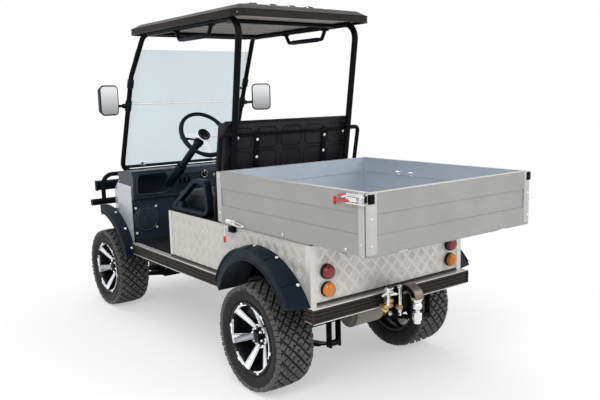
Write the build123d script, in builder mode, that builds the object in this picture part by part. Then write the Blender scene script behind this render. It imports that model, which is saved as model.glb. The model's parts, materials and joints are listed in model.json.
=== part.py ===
"""Utility golf cart: two seats, roof, windshield and an aluminium tipping bed.

Frame: X forward, Y to the cart's left, Z up, millimetres, origin on the ground under the middle.
"""
import os
from math import asin, atan2, cos, degrees, pi, radians, sin, sqrt

from build123d import *

os.makedirs("parts", exist_ok=True)

# Layout
wheelbase = 2010.0
rear_overhang = 860.0
front_overhang = 350.0
rear_axle_x = (rear_overhang - wheelbase - front_overhang) / 2
front_axle_x = rear_axle_x + wheelbase

# Wheels
tyre_diameter = 572.0
tyre_width = 222.0
rim_diameter = 386.0
rim_width = 195.0
rear_width = 1250.0
front_width = 1170.0
stub_radius = 15.0
lug_count = 22
lug_depth = 12.0
running_fit = 0.05
spoke_count = 6
axle_z = tyre_diameter / 2
rear_wheel_y = (rear_width - tyre_width) / 2
front_wheel_y = (front_width - tyre_width) / 2

# Steering
kingpin_y = 325.0
steer_arm = 105.0
rack_r = 12.0
wheel_rim_radius = 172.0
steer_wheel_y = 240.0
steer_wheel_lean = 55.0

rack_x = front_axle_x - steer_arm
rack_z = axle_z + 26.3

# Body heights
rail_bottom_z = 445.0
floor_z = 541.0
floor_thick = 6.0
deck_z = 845.0
sheet = 4.0
channel_bottom_z = 467.0
dash_top_z = 1036.0
dash_low_z = 840.0

# Body widths, each a half width
wheel_inner_y = rear_width / 2 - tyre_width
rail_y = wheel_inner_y - 90.0
spring_y = rail_y + 19.0
panel_y = 537.0
channel_y = 556.0
channel_depth = 41.0
cowl_y = 525.0
wall = 6.0
roof_y = 485.0
post_y = 420.0
screen_y = 470.0

# Body stations along X
arch_r = 422.0
arch_x = rear_axle_x - 20.0
arch_z = axle_z + 6.0
eye_reach = 350.0
panel_rear_x = arch_x - arch_r + 9.0
channel_rear_x = panel_rear_x - 40.0
seat_rear_x = rear_axle_x + 455.0
seat_front_x = rear_axle_x + 1000.0
dash_x = front_axle_x - 410.0

# Bed
bed_length = 1226.0
bed_width = 1107.0
bed_height = 277.0
board = 25.0
bed_gap = 5.0
bed_bottom_z = deck_z + 9.0
bearer_height = 34.0
bed_rear_x = rear_axle_x - rear_overhang
bed_front_x = bed_rear_x + bed_length
bed_pivot_x = panel_rear_x - 22.0
bed_pivot_z = deck_z + 17.0
gate_pivot_x = bed_rear_x + board / 2
gate_pivot_z = bed_bottom_z + board / 2

# Roof and its tubes
tube_r = 19.0
hoop_r = 17.0
roof_edge_z = 1960.0
roof_skirt = 38.0
roof_lining = 22.0
roof_rear_x = rear_axle_x + 214.0
roof_front_x = front_axle_x - 433.0

seat_gap = 0.3


def finish(piece, name):
    """Label a finished piece and write its STEP file."""
    piece.part.label = name
    export_step(piece.part, f"parts/{name}.step")


def block(x0, x1, y0, y1, z0, z1, mode=Mode.ADD):
    """Box between two corners."""
    with Locations(((x0 + x1) / 2, (y0 + y1) / 2, (z0 + z1) / 2)):
        Box(abs(x1 - x0), abs(y1 - y0), abs(z1 - z0), mode=mode)


def rod(start, end, radius, mode=Mode.ADD):
    """Round bar between two points."""
    axis = Vector(*end) - Vector(*start)
    with BuildSketch(Plane(origin=start, z_dir=axis)) as section:
        Circle(radius)
    extrude(section.sketch, amount=axis.length, mode=mode)


def bent_tube(points, bend, radius):
    """Round tube along a path with one bend radius."""
    with BuildLine() as path:
        FilletPolyline(*points, radius=bend)
    with BuildSketch(Plane(origin=path.line @ 0, z_dir=path.line % 0)) as section:
        Circle(radius)
    sweep(section.sketch, path=path.line)


def side_profile(points, y0, y1, mode=Mode.ADD):
    """Outline in X and Z, filled from y0 to y1."""
    with BuildSketch(Plane.XZ.offset(-y1)) as outline:
        with BuildLine():
            Polyline(*points, close=True)
        make_face()
    extrude(outline.sketch, amount=y1 - y0, mode=mode)


def arch_band(x, z, inner, outer, start, end):
    """Ring sector in X and Z between two angles from +X, in the open sketch."""
    a0 = radians(start)
    a1 = radians(end)
    am = (a0 + a1) / 2
    ring = [[(x + r * cos(a), z + r * sin(a)) for a in (a0, am, a1)] for r in (inner, outer)]
    with BuildLine() as band:
        ThreePointArc(*ring[0])
        Line(ring[0][2], ring[1][2])
        ThreePointArc(*reversed(ring[1]))
        Line(ring[1][0], ring[0][0])
    make_face(band.edges())


# Wheels: the dished spokes are the feature that takes the most skill here.
def make_tyre(name, x, y):
    """Tyre with a smooth crown and a row of lugs round each shoulder."""
    r = axle_z
    w = tyre_width / 2
    seat = rim_diameter / 2 - 13 + seat_gap
    bead = rim_width / 2 - 9 - seat_gap
    root = r - lug_depth
    half = [(bead, seat), (bead, seat + 18), (w, 0.82 * r), (0.84 * w, root - 2), (0.52 * w, root), (0.46 * w, r)]
    outline = half + [(-a, b) for a, b in reversed(half)]
    step = 2 * pi / lug_count
    teeth = []
    for lug in range(lug_count):
        for share, radius in ((0.06, root - 6), (0.12, r), (0.56, r), (0.62, root - 6)):
            angle = (lug + share) * step
            teeth.append((radius * cos(angle), radius * sin(angle)))
    with BuildPart() as tyre:
        with BuildSketch(Plane(origin=(x, y, axle_z), x_dir=(0, 1, 0), z_dir=(1, 0, 0))):
            with BuildLine():
                Polyline(*outline, close=True)
            make_face()
        revolve(axis=Axis((x, y, axle_z), (0, 1, 0)))
        for start in (0.5 * w, -0.86 * w):
            with BuildSketch(Plane(origin=(x, y + start, axle_z), x_dir=(1, 0, 0), z_dir=(0, 1, 0))):
                with BuildLine():
                    Polyline(*teeth, close=True)
                make_face()
                Circle(root - 30, mode=Mode.SUBTRACT)
            extrude(amount=0.36 * w)
    finish(tyre, name)


def make_rim(name, x, y, side):
    """Wheel with a lip, a dished face cut into spokes, and a bored hub."""
    lip = rim_diameter / 2
    seat = lip - 13
    barrel = seat - 9
    edge = rim_width / 2
    hub = 56.0
    face = 0.62 * edge
    plane = Plane(origin=(x, y, axle_z), x_dir=(0, side, 0), z_dir=(side, 0, 0))
    barrel_line = [(-edge, barrel), (-edge, seat), (edge - 9, seat), (edge - 9, lip), (edge, lip)]
    barrel_line += [(edge, lip - 9), (edge - 14, barrel)]
    dish_line = [(face - 22, stub_radius + running_fit), (face - 22, barrel + 4)]
    dish_line += [(edge - 14, barrel + 4), (face, hub), (face, stub_radius + running_fit)]
    with BuildPart() as rim:
        for line in (barrel_line, dish_line):
            with BuildSketch(plane):
                with BuildLine():
                    Polyline(*line, close=True)
                make_face()
            revolve(axis=Axis((x, y, axle_z), (0, 1, 0)))
        low = radians(0.50 * 180 / spoke_count)
        high = radians(0.72 * 180 / spoke_count)
        near = hub + 6
        far = barrel - 3
        window = [(near * cos(low), -near * sin(low)), (far * cos(high), -far * sin(high)), (far, 0)]
        window += [(far * cos(high), far * sin(high)), (near * cos(low), near * sin(low))]
        with BuildSketch(Plane(origin=(x, y, axle_z), x_dir=(1, 0, 0), z_dir=(0, side, 0))):
            with PolarLocations(0, spoke_count, start_angle=-90 / spoke_count):
                Polygon(*window, align=None)
        extrude(amount=edge, both=True, mode=Mode.SUBTRACT)
    finish(rim, name)


wheels = [
    # corner, x, y, side
    ("rear_left", rear_axle_x, rear_wheel_y, 1),
    ("rear_right", rear_axle_x, -rear_wheel_y, -1),
    ("front_left", front_axle_x, front_wheel_y, 1),
    ("front_right", front_axle_x, -front_wheel_y, -1),
]
for corner, wheel_x, wheel_y, wheel_side in wheels:
    make_tyre(f"tyre_{corner}", wheel_x, wheel_y)
    make_rim(f"rim_{corner}", wheel_x, wheel_y, wheel_side)

# Chassis: two long rails, a narrow front pair between the steered wheels, cross members, outriggers.
rail_top_z = floor_z - floor_thick
front_rail_y = 150.0
joint_x = dash_x - 60.0
front_end_x = front_axle_x + 215.0
with BuildPart() as chassis_frame:
    block(panel_rear_x + 13, joint_x, rail_y - 25, rail_y + 25, rail_bottom_z, rail_top_z)
    block(joint_x - 50, front_end_x, front_rail_y - 20, front_rail_y + 20, rail_bottom_z, rail_top_z)
    for x in (arch_x + arch_r + 18, seat_front_x + 40, joint_x - 90):
        block(x, x + 40, rail_y, channel_y - channel_depth - seat_gap, rail_bottom_z + 30, rail_top_z)
    block(front_axle_x - 140, front_axle_x + 140, 160, 168, 170, rail_bottom_z)
    for x in (rear_axle_x - eye_reach, rear_axle_x + eye_reach):
        block(x - 25, x + 25, rail_y, spring_y + 36, rail_bottom_z, rail_bottom_z + 30)
    mirror(about=Plane.XZ)
    for x in (panel_rear_x + 13, arch_x + arch_r + 18, seat_front_x + 40, joint_x - 50):
        block(x, x + 50, -rail_y, rail_y, rail_bottom_z, rail_top_z)
    for x in (front_axle_x - 140, front_axle_x + 100):
        block(x, x + 40, -160, 160, 170, 230)
    block(front_end_x - 40, front_end_x, -front_rail_y, front_rail_y, rail_bottom_z, rail_top_z)
    rod((rack_x, -200, rack_z), (rack_x, 200, rack_z), rack_r + 8, mode=Mode.SUBTRACT)
finish(chassis_frame, "chassis_frame")

# Floor: cut out round the rear wheels and narrow between the front ones.
notch = arch_r - 70
with BuildPart() as floor_pan:
    inner_y = channel_y - channel_depth - seat_gap
    block(panel_rear_x + sheet, dash_x, -inner_y, inner_y, rail_top_z + seat_gap, floor_z)
    block(dash_x, front_axle_x - 190, -185, 185, rail_top_z + seat_gap, floor_z)
    for side in (1, -1):
        y0 = side * (wheel_inner_y - 20)
        y1 = side * channel_y
        block(arch_x - notch, arch_x + notch, y0, y1, 0, 2 * floor_z, mode=Mode.SUBTRACT)
finish(floor_pan, "floor_pan")

# Perimeter channel with its ribbed strip: two sills and a rear bar that turns both corners.
sill_rear_x = arch_x + arch_r - 17.0
sill_front_x = dash_x - 50.0
corner_length = 75.0


def edge_plan(inner, outer):
    """Plan of the sills and the rear bar, between two depths from the outer face."""
    for side in (1, -1):
        mid_y = side * (channel_y - (inner + outer) / 2)
        with Locations(((sill_rear_x + sill_front_x) / 2, mid_y)):
            Rectangle(sill_front_x - sill_rear_x, inner - outer)
        with Locations((channel_rear_x + (corner_length + outer) / 2, mid_y)):
            Rectangle(corner_length - outer, inner - outer)
    with Locations((channel_rear_x + (inner + outer) / 2, 0)):
        Rectangle(inner - outer, 2 * (channel_y - outer))


channel_bands = [
    # z0, z1, inner, outer
    (channel_bottom_z, channel_bottom_z + 4, channel_depth, 4),
    (floor_z - 4, floor_z, channel_depth, 4),
    (channel_bottom_z + 4, floor_z - 4, channel_depth, channel_depth - 4),
]
with BuildPart() as perimeter_channel:
    for z0, z1, inner, outer in channel_bands:
        with BuildSketch(Plane.XY.offset(z0)):
            edge_plan(inner, outer)
        extrude(amount=z1 - z0)
finish(perimeter_channel, "perimeter_channel")

rib_base = channel_bottom_z + 4 + seat_gap
rib_span = floor_z - channel_bottom_z - 8 - 2 * seat_gap
rib_step = rib_span / 7
with BuildPart() as rub_strips:
    with BuildSketch(Plane.XY.offset(rib_base)):
        edge_plan(channel_depth - 4 - seat_gap, 5)
    extrude(amount=rib_span)
    for rib in range(4):
        with BuildSketch(Plane.XY.offset(rib_base + 2 * rib * rib_step)):
            edge_plan(5, 0)
        extrude(amount=rib_step)
finish(rub_strips, "rub_strips")

# Load body below the bed: treadplate sides and back, corner trims, deck.
with BuildPart() as tread_panels:
    block(panel_rear_x, seat_front_x, panel_y - sheet, panel_y, floor_z + seat_gap, deck_z - 6)
    with BuildSketch(Plane.XZ.offset(-panel_y - 50)):
        with Locations((arch_x, arch_z)):
            Circle(arch_r + 30)
    extrude(amount=100, mode=Mode.SUBTRACT)
    mirror(about=Plane.XZ)
    inner_y = panel_y - sheet
    for x in (panel_rear_x, seat_front_x - sheet):
        block(x, x + sheet, -inner_y, inner_y, floor_z + seat_gap, deck_z - 6)
finish(tread_panels, "tread_panels")

trim = 32.0
trim_top_z = deck_z - 6
with BuildPart() as panel_trims:
    out = panel_y + seat_gap
    back = panel_rear_x - seat_gap
    block(back - 3, back + trim, out, out + 3, floor_z + seat_gap, trim_top_z)
    block(back - 3, back, out - trim, out + 3, floor_z + seat_gap, trim_top_z)
    block(seat_front_x - trim, seat_front_x, out, out + 3, floor_z + seat_gap, trim_top_z)
    mirror(about=Plane.XZ)
finish(panel_trims, "panel_trims")

inner_y = panel_y - sheet - seat_gap
with BuildPart() as body_deck:
    block(panel_rear_x, seat_front_x, -inner_y, inner_y, deck_z - 6 + seat_gap, deck_z)
    for x in (panel_rear_x + 38, seat_rear_x - 90):
        block(x, x + 40, rail_y - 20, rail_y + 20, floor_z + seat_gap, deck_z - 6)
        block(x, x + 40, -rail_y - 20, -rail_y + 20, floor_z + seat_gap, deck_z - 6)
    for side in (1, -1):
        for arm in (-28, 24):
            y0 = side * rail_y + arm
            tail = bed_pivot_x - 11
            ear_top = bed_pivot_z + 10
            block(tail, panel_rear_x - seat_gap, y0, y0 + 4, deck_z - 70, ear_top)
            block(panel_rear_x - seat_gap, panel_rear_x + 60, y0, y0 + 4, deck_z, ear_top)
        start = (bed_pivot_x, side * rail_y - 30, bed_pivot_z)
        rod(start, (bed_pivot_x, side * rail_y + 30, bed_pivot_z), 8)
finish(body_deck, "body_deck")

with BuildPart() as battery_pack:
    block(seat_rear_x + 60, seat_front_x - 60, -260, 260, floor_z + seat_gap, floor_z + 240)
finish(battery_pack, "battery_pack")

# Bench: cushion, leaning backrest, its frame, side rails and arm loops.
post_top_z = roof_edge_z + roof_lining - tube_r - seat_gap
post_foot_x = seat_rear_x - 6.0
post_top_x = rear_axle_x + 284.0
lean = (post_foot_x - post_top_x) / (post_top_z - deck_z)


def post_x(z):
    """Axis of the leaning rear posts at a height."""
    return post_foot_x - lean * (z - deck_z)


cushion_top_z = deck_z + 118.0
with BuildPart() as seat_cushion:
    block(seat_rear_x + 36, seat_front_x + 16, -470, 470, deck_z + seat_gap, cushion_top_z)
    fillet(seat_cushion.edges().group_by(Axis.Z)[-1], 26)
finish(seat_cushion, "seat_cushion")

back_low_z = cushion_top_z + 6.0
back_top_z = 1400.0
back_off = tube_r + 8.0 + 2 * seat_gap
with BuildPart() as seat_backrest:
    back = [(post_x(back_low_z) + back_off, back_low_z), (post_x(back_top_z) + back_off, back_top_z)]
    back += [(back[1][0] + 70, back_top_z + 4), (back[0][0] + 105, back_low_z)]
    side_profile(back, -475, 475)
    fillet(seat_backrest.edges().filter_by(Axis.Y), 18)
finish(seat_backrest, "seat_backrest")

strap_y = 250.0
with BuildPart() as seat_frame:
    for z0, z1 in ((back_top_z - 88, back_top_z - 68), (back_top_z - 380, back_top_z - 340)):
        low = post_x(z0) + tube_r + seat_gap
        high = post_x(z1) + tube_r + seat_gap
        bar = [(low, z0), (high, z1), (high + 8, z1), (low + 8, z0)]
        side_profile(bar, -post_y - 15, post_y + 15)
    for side in (1, -1):
        low = post_x(deck_z) + tube_r + seat_gap
        strap_z = back_top_z - 60
        high = post_x(strap_z) + tube_r + seat_gap
        strap = [(low, deck_z + seat_gap), (high, strap_z), (high + 8, strap_z), (low + 8, deck_z + seat_gap)]
        side_profile(strap, side * strap_y - 16, side * strap_y + 16)
    top = back_top_z - 70
    hip_y = post_y + 88
    rail = [(post_x(top), post_y + tube_r + seat_gap, top), (post_x(top), hip_y, top)]
    rail += [(seat_rear_x + 10, hip_y, deck_z + 30), (seat_rear_x + 10, hip_y, deck_z + seat_gap)]
    bent_tube(rail, 28, 13)
    rail = [(x, -y, z) for x, y, z in rail]
    bent_tube(rail, 28, 13)
finish(seat_frame, "seat_frame")

arm_rear_x = seat_rear_x + 105.0
arm_front_x = seat_front_x + 30.0
arm_top_z = deck_z + 208.0
with BuildPart() as arm_rests:
    base = deck_z + seat_gap
    outline = [(arm_rear_x + 40, base), (arm_rear_x, base + 70), (arm_rear_x + 35, arm_top_z - 6)]
    outline += [(arm_rear_x + 130, arm_top_z), (arm_front_x, base + 22), (arm_front_x - 20, base)]
    with BuildSketch(Plane.XZ.offset(-522)) as arm_outline:
        with BuildLine():
            Polyline(*outline, close=True)
        make_face()
        fillet(arm_outline.vertices().sort_by(Axis.Y)[2:], 22)
        offset(amount=-36, mode=Mode.SUBTRACT)
    extrude(amount=40)
    mirror(about=Plane.XZ)
finish(arm_rests, "arm_rests")

# Rear wheel flares with their inner liners: the top slopes down to a lip, and the plan widens rearwards.
flare_start = 24.0
flare_end = 152.0
flare_front = 30.0
flare_rear = 122.0
with BuildPart() as rear_flares:
    face_y = panel_y + 3 + 2 * seat_gap
    lip_y = panel_y + flare_rear + 8
    radial = (cos(radians(flare_start)), 0, sin(radians(flare_start)))
    with BuildSketch(Plane(origin=(arch_x, 0, arch_z), x_dir=radial, z_dir=(-radial[2], 0, radial[0]))):
        with BuildLine():
            section = [(arch_r - 6, face_y), (arch_r + 62, face_y), (arch_r + 36, lip_y), (arch_r - 6, lip_y)]
            Polyline(*section, close=True)
        make_face()
    revolve(axis=Axis((arch_x, 0, arch_z), (0, -1, 0)), revolution_arc=flare_end - flare_start)
    with BuildSketch(Plane.XY):
        with BuildLine():
            taper = [(arch_x + arch_r, panel_y + flare_front), (arch_x - arch_r, panel_y + flare_rear)]
            taper += [(arch_x - arch_r, 2 * panel_y), (arch_x + 2 * arch_r, 2 * panel_y)]
            taper += [(arch_x + 2 * arch_r, panel_y + flare_front)]
            Polyline(*taper, close=True)
        make_face()
    extrude(amount=2 * deck_z, mode=Mode.SUBTRACT)
    with BuildSketch(Plane.XZ.offset(-face_y)):
        arch_band(arch_x, arch_z, arch_r - 6, arch_r, flare_start, flare_end)
    extrude(amount=face_y - wheel_inner_y + 20)
    low = (0, floor_z + seat_gap)
    block(arch_x - 2 * arch_r, arch_x - 300, 0, 2 * panel_y, *low, mode=Mode.SUBTRACT)
    block(sill_rear_x - seat_gap, arch_x + 2 * arch_r, 0, 2 * panel_y, *low, mode=Mode.SUBTRACT)
    mirror(about=Plane.XZ)
finish(rear_flares, "rear_flares")

lamps = [
    # name, z
    ("tail_lamps", 703),
    ("indicator_lamps", 615),
]
lamp_y = 442.0
for lamp_name, lamp_z in lamps:
    with BuildPart() as lamp:
        for side in (1, -1):
            foot = (panel_rear_x - seat_gap, side * lamp_y, lamp_z)
            rod(foot, (panel_rear_x - 12, side * lamp_y, lamp_z), 36)
            rod((panel_rear_x - 12, side * lamp_y, lamp_z), (panel_rear_x - 24, side * lamp_y, lamp_z), 31)
    finish(lamp, lamp_name)

# Tow hitch: a receiver under the rear bar, with an arched neck that carries a ball.
hitch_x = channel_rear_x - seat_gap
neck_x = channel_rear_x - 87.0
neck_z = 515.0
neck_r = 50.0
ball_x = neck_x - neck_r
ball_z = neck_z - 36.0
ball_r = 25.0
plate_y = 32.0
with BuildPart() as tow_bracket:
    block(hitch_x - 12, hitch_x, -80, 80, channel_bottom_z - 60, floor_z - 2)
    for side in (1, -1):
        plate = [(hitch_x - 12, neck_z - 100), (hitch_x - 12, neck_z + 45), (hitch_x - 45, neck_z + 51)]
        plate += [(neck_x + 20, neck_z + 15), (neck_x + 20, neck_z - 85)]
        side_profile(plate, side * plate_y - 5, side * plate_y + 5)
    inner_y = plate_y - 5 - seat_gap
    with BuildSketch(Plane.XZ.offset(-inner_y)):
        arch_band(neck_x, neck_z, neck_r - 14, neck_r + 14, 0, 180)
    extrude(amount=2 * inner_y)
    block(neck_x + neck_r - 14, neck_x + neck_r + 14, -inner_y, inner_y, neck_z - 70, neck_z)
    for z in (neck_z - 50, neck_z + 22):
        rod((neck_x + neck_r - 6, -46, z), (neck_x + neck_r - 6, 46, z), 8)
finish(tow_bracket, "tow_bracket")

with BuildPart() as tow_ball:
    foot_z = neck_z - seat_gap
    rod((ball_x, 0, foot_z), (ball_x, 0, foot_z - 9), 21)
    rod((ball_x, 0, foot_z), (ball_x, 0, ball_z - 50), 12)
    with Locations((ball_x, 0, ball_z)):
        Sphere(ball_r)
    rod((ball_x, 0, ball_z - 32), (ball_x, 0, ball_z - 72), 23)
    rod((ball_x, 0, ball_z - 72), (ball_x, 0, ball_z - 90), 17)
finish(tow_ball, "tow_ball")

# Rear running gear: live axle, motor with its gearbox, leaf springs.
drum_y = rear_wheel_y - 30.0
with BuildPart() as rear_axle:
    rod((rear_axle_x, -drum_y, axle_z), (rear_axle_x, drum_y, axle_z), 34)
    for side in (1, -1):
        rod((rear_axle_x, side * drum_y, axle_z), (rear_axle_x, side * (rear_wheel_y + 58), axle_z), stub_radius)
        rod((rear_axle_x, side * (drum_y - 70), axle_z), (rear_axle_x, side * drum_y, axle_z), 92)
finish(rear_axle, "rear_axle")

motor_x = rear_axle_x - 205.0
motor_z = axle_z + 85.0
with BuildPart() as drive_motor:
    rod((motor_x, -80, motor_z), (motor_x, 110, motor_z), 82)
    rod((motor_x, 110, motor_z), (motor_x, 124, motor_z), 60)
    rod((motor_x, -130, motor_z), (motor_x, -80, motor_z), 70)
    case = [(motor_x, motor_z - 60), (motor_x, motor_z + 60), (rear_axle_x - 34.3, axle_z + 60)]
    case += [(rear_axle_x - 34.3, axle_z - 60)]
    side_profile(case, -130, -80)
finish(drive_motor, "drive_motor")

eye_z = axle_z + 8.0
spring_z = axle_z - 46.0
leaves = [
    # half length, depth below the main leaf
    (1.0, 0),
    (0.72, 8),
    (0.45, 16),
]
with BuildPart() as leaf_springs:
    rise = eye_z - spring_z
    bow = (eye_reach ** 2 + rise ** 2) / (2 * rise)
    for share, drop in leaves:
        reach = degrees(asin(share * eye_reach / bow))
        with BuildSketch(Plane.XZ.offset(-spring_y - 24)):
            arch_band(rear_axle_x, spring_z + bow, bow + drop, bow + drop + 8, 270 - reach, 270 + reach)
        extrude(amount=48)
    for end in (1, -1):
        x = rear_axle_x + end * eye_reach
        rod((x, spring_y - 34, eye_z), (x, spring_y + 34, eye_z), 16)
        for y0 in (spring_y - 34, spring_y + 26):
            block(x - 18, x + 18, y0, y0 + 8, eye_z - 18, rail_bottom_z - seat_gap)
    block(rear_axle_x - 50, rear_axle_x + 50, spring_y - 34, spring_y + 34, spring_z - 32, spring_z - 22)
    block(rear_axle_x - 45, rear_axle_x + 45, spring_y - 20, spring_y + 20, spring_z - 2, axle_z - 34 - seat_gap)
    for x in (rear_axle_x - 42, rear_axle_x + 42):
        for y in (spring_y - 29, spring_y + 29):
            rod((x, y, spring_z - 24), (x, y, axle_z + 40), 5)
    for y in (spring_y - 29, spring_y + 29):
        rod((rear_axle_x - 47, y, axle_z + 40), (rear_axle_x + 47, y, axle_z + 40), 5)
    mirror(about=Plane.XZ)
finish(leaf_springs, "leaf_springs")

# Front running gear: lower and upper arms hold the kingpins, a spring strut stands on each lower arm.
pin_low_z = axle_z - 92.0
pin_high_z = axle_z + 82.0
pin_r = 9.0
arm_tables = [
    # z, half width at the frame, thickness
    (pin_low_z, 138, 24),
    (pin_high_z, 60, 20),
]
with BuildPart() as front_suspension:
    for z, spread, thick in arm_tables:
        with BuildSketch(Plane.XY.offset(z - thick / 2)):
            with BuildLine():
                foot_y = 168 + seat_gap
                points = [(front_axle_x - spread, foot_y), (front_axle_x + spread, foot_y)]
                points += [(front_axle_x + 20, kingpin_y + 20), (front_axle_x - 20, kingpin_y + 20)]
                Polyline(*points, close=True)
            make_face()
            with BuildLine():
                hole = [(front_axle_x - 0.62 * spread, foot_y + 26), (front_axle_x + 0.62 * spread, foot_y + 26)]
                hole += [(front_axle_x + 12, kingpin_y - 55), (front_axle_x - 12, kingpin_y - 55)]
                Polyline(*hole, close=True)
            make_face(mode=Mode.SUBTRACT)
        extrude(amount=thick)
    rod((front_axle_x, kingpin_y, pin_low_z), (front_axle_x, kingpin_y, axle_z - 38), pin_r)
    rod((front_axle_x, kingpin_y, axle_z + 38), (front_axle_x, kingpin_y, pin_high_z), pin_r)
    strut_x = front_axle_x + 88.0
    strut_y = 232.0
    foot_z = pin_low_z + 12 + seat_gap
    rod((strut_x, strut_y, foot_z), (strut_x, strut_y, foot_z + 90), 16)
    rod((strut_x, strut_y, foot_z + 90), (strut_x, strut_y, rail_bottom_z + 30), 10)
    for turn in range(8):
        ring_z = foot_z + 70 + turn * 20
        rod((strut_x, strut_y, ring_z), (strut_x, strut_y, ring_z + 10), 26)
    block(strut_x - 30, strut_x + 30, front_rail_y + 20 + seat_gap, strut_y + 30, rail_bottom_z + 30, rail_bottom_z + 42)
    mirror(about=Plane.XZ)
    rod((rack_x, -145, rack_z), (rack_x, 145, rack_z), 24)
    for y in (-110, 110):
        block(rack_x - 20, rack_x + 20, y - 15, y + 15, 230 + seat_gap, rack_z)
    rod((rack_x, -150, rack_z), (rack_x, 150, rack_z), rack_r + 0.3, mode=Mode.SUBTRACT)
finish(front_suspension, "front_suspension")

with BuildPart() as tie_rod:
    rod((rack_x, -kingpin_y + 16, rack_z), (rack_x, kingpin_y - 16, rack_z), rack_r)
    for side in (1, -1):
        rod((rack_x, side * kingpin_y, rack_z - 12), (rack_x, side * kingpin_y, rack_z + 12), 18)
finish(tie_rod, "tie_rod")

for knuckle_name, side in (("knuckle_left", 1), ("knuckle_right", -1)):
    with BuildPart() as knuckle:
        y = side * kingpin_y
        rod((front_axle_x, y, pin_low_z + 12 + 5), (front_axle_x, y, pin_high_z - 10 - 5), 22)
        rod((front_axle_x, y, axle_z), (front_axle_x, side * (front_wheel_y + 58), axle_z), stub_radius)
        rod((front_axle_x, y, axle_z), (front_axle_x, side * (front_wheel_y - 40), axle_z), 26)
        block(rack_x, front_axle_x, y - 11, y + 11, axle_z - 8, axle_z + 14)
        rod((rack_x, y, axle_z - 8), (rack_x, y, axle_z + 14), 18)
        for z0, z1 in ((0, axle_z - 38), (axle_z + 38, 2 * axle_z)):
            rod((front_axle_x, y, z0), (front_axle_x, y, z1), pin_r + running_fit, mode=Mode.SUBTRACT)
    finish(knuckle, knuckle_name)

# Front body: a hood shell with open arches, flares, nose, lamps, guard and light bar.
hood_arch_r = 440.0
hood = [
    # x from the front axle, half width, bottom z, top z, shoulder radius
    (-408, cowl_y, 480, 990, 90),
    (-180, cowl_y, 508, 1000, 90),
    (-56, cowl_y - 31, 524, 965, 105),
    (140, cowl_y - 125, 548, 935, 105),
    (232, cowl_y - 175, 560, 830, 95),
]
with BuildPart() as front_cowl:
    for cut in (0, wall):
        for number, (x, half, low, top, shoulder) in enumerate(hood):
            station = x - 8 * cut if number == 0 else x - cut
            with BuildSketch(Plane.YZ.offset(front_axle_x + station)) as section:
                with BuildLine():
                    left = cut - half
                    right = half - cut
                    base = low - 10 * cut
                    Polyline((left, base), (right, base), (right, top - cut), (left, top - cut), close=True)
                make_face()
                fillet(section.vertices().group_by(Axis.Y)[-1], shoulder)
        loft(ruled=True, mode=Mode.SUBTRACT if cut else Mode.ADD)
    top_y = cowl_y - wall
    block(dash_x - 90, front_axle_x - 184, -top_y, top_y, dash_low_z + 60, 2 * dash_low_z, mode=Mode.SUBTRACT)
    for side in (1, -1):
        with BuildSketch(Plane.XZ.offset(-side * 190)):
            with Locations((front_axle_x, axle_z)):
                Circle(hood_arch_r)
        extrude(amount=-side * 500, mode=Mode.SUBTRACT)
finish(front_cowl, "front_cowl")

flare_y = cowl_y + 74.0
with BuildPart() as front_flares:
    with BuildSketch(Plane.XZ.offset(-cowl_y - seat_gap)):
        arch_band(front_axle_x, axle_z, hood_arch_r - 8, hood_arch_r + 34, 58, 160)
    extrude(amount=cowl_y - flare_y)
    with BuildSketch(Plane.XZ.offset(-cowl_y - seat_gap)):
        arch_band(front_axle_x, axle_z, hood_arch_r - 8, hood_arch_r - seat_gap, 58, 160)
    extrude(amount=cowl_y - 200)
    with BuildSketch(Plane.XY):
        with BuildLine():
            taper = [(front_axle_x - 20, flare_y + 1), (front_axle_x + 320, flare_y - 142)]
            taper += [(front_axle_x + 320, flare_y + 90), (front_axle_x - 20, flare_y + 90)]
            Polyline(*taper, close=True)
        make_face()
    extrude(amount=2 * hood_arch_r, mode=Mode.SUBTRACT)
    mirror(about=Plane.XZ)
finish(front_flares, "front_flares")

with BuildPart() as front_nose:
    nose = [(front_end_x + seat_gap, rail_bottom_z - 25), (front_end_x + seat_gap, 552)]
    nose += [(front_axle_x + 304, 552), (front_axle_x + 288, rail_bottom_z - 25)]
    side_profile(nose, -185, 185)
finish(front_nose, "front_nose")

with BuildPart() as headlamps:
    for side in (1, -1):
        lamp_x = front_axle_x + 232 + seat_gap
        rod((lamp_x, side * 265, 735), (lamp_x + 18, side * 265, 735), 52)
finish(headlamps, "headlamps")

guard_x = front_axle_x + 282.0
guard_low_z = 747.0
guard_top_z = 955.0
guard_y = 450.0
with BuildPart() as brush_guard:
    rod((guard_x, -550, guard_low_z), (guard_x, 550, guard_low_z), 25)
    hoop = [(guard_x, guard_y, guard_low_z), (guard_x, guard_y, guard_top_z)]
    hoop += [(guard_x, -guard_y, guard_top_z), (guard_x, -guard_y, guard_low_z)]
    bent_tube(hoop, 80, 17)
    for side in (1, -1):
        rod((guard_x, side * front_rail_y, guard_low_z), (guard_x, side * front_rail_y, 552 + seat_gap), 15)
finish(brush_guard, "brush_guard")

bar_back_x = guard_x + 17 + seat_gap
bar_front_x = front_axle_x + front_overhang
with BuildPart() as light_bar:
    block(bar_back_x + 18, bar_front_x, -482, 482, 832, 902)
    for fin in range(6):
        z0 = 834 + fin * 11.8
        block(bar_back_x, bar_back_x + 18, -465, 465, z0, z0 + 6)
finish(light_bar, "light_bar")

# Steering wheel and column on one leaning axis.
hub_x = dash_x - 563.0
hub_z = 1299.0
down = (sin(radians(steer_wheel_lean)), 0, -cos(radians(steer_wheel_lean)))


def on_column(length):
    """Point on the column axis, measured down from the wheel's hub."""
    return (hub_x + down[0] * length, steer_wheel_y, hub_z + down[2] * length)


column_end = (dash_x - 40 - hub_x) / down[0]

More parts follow.
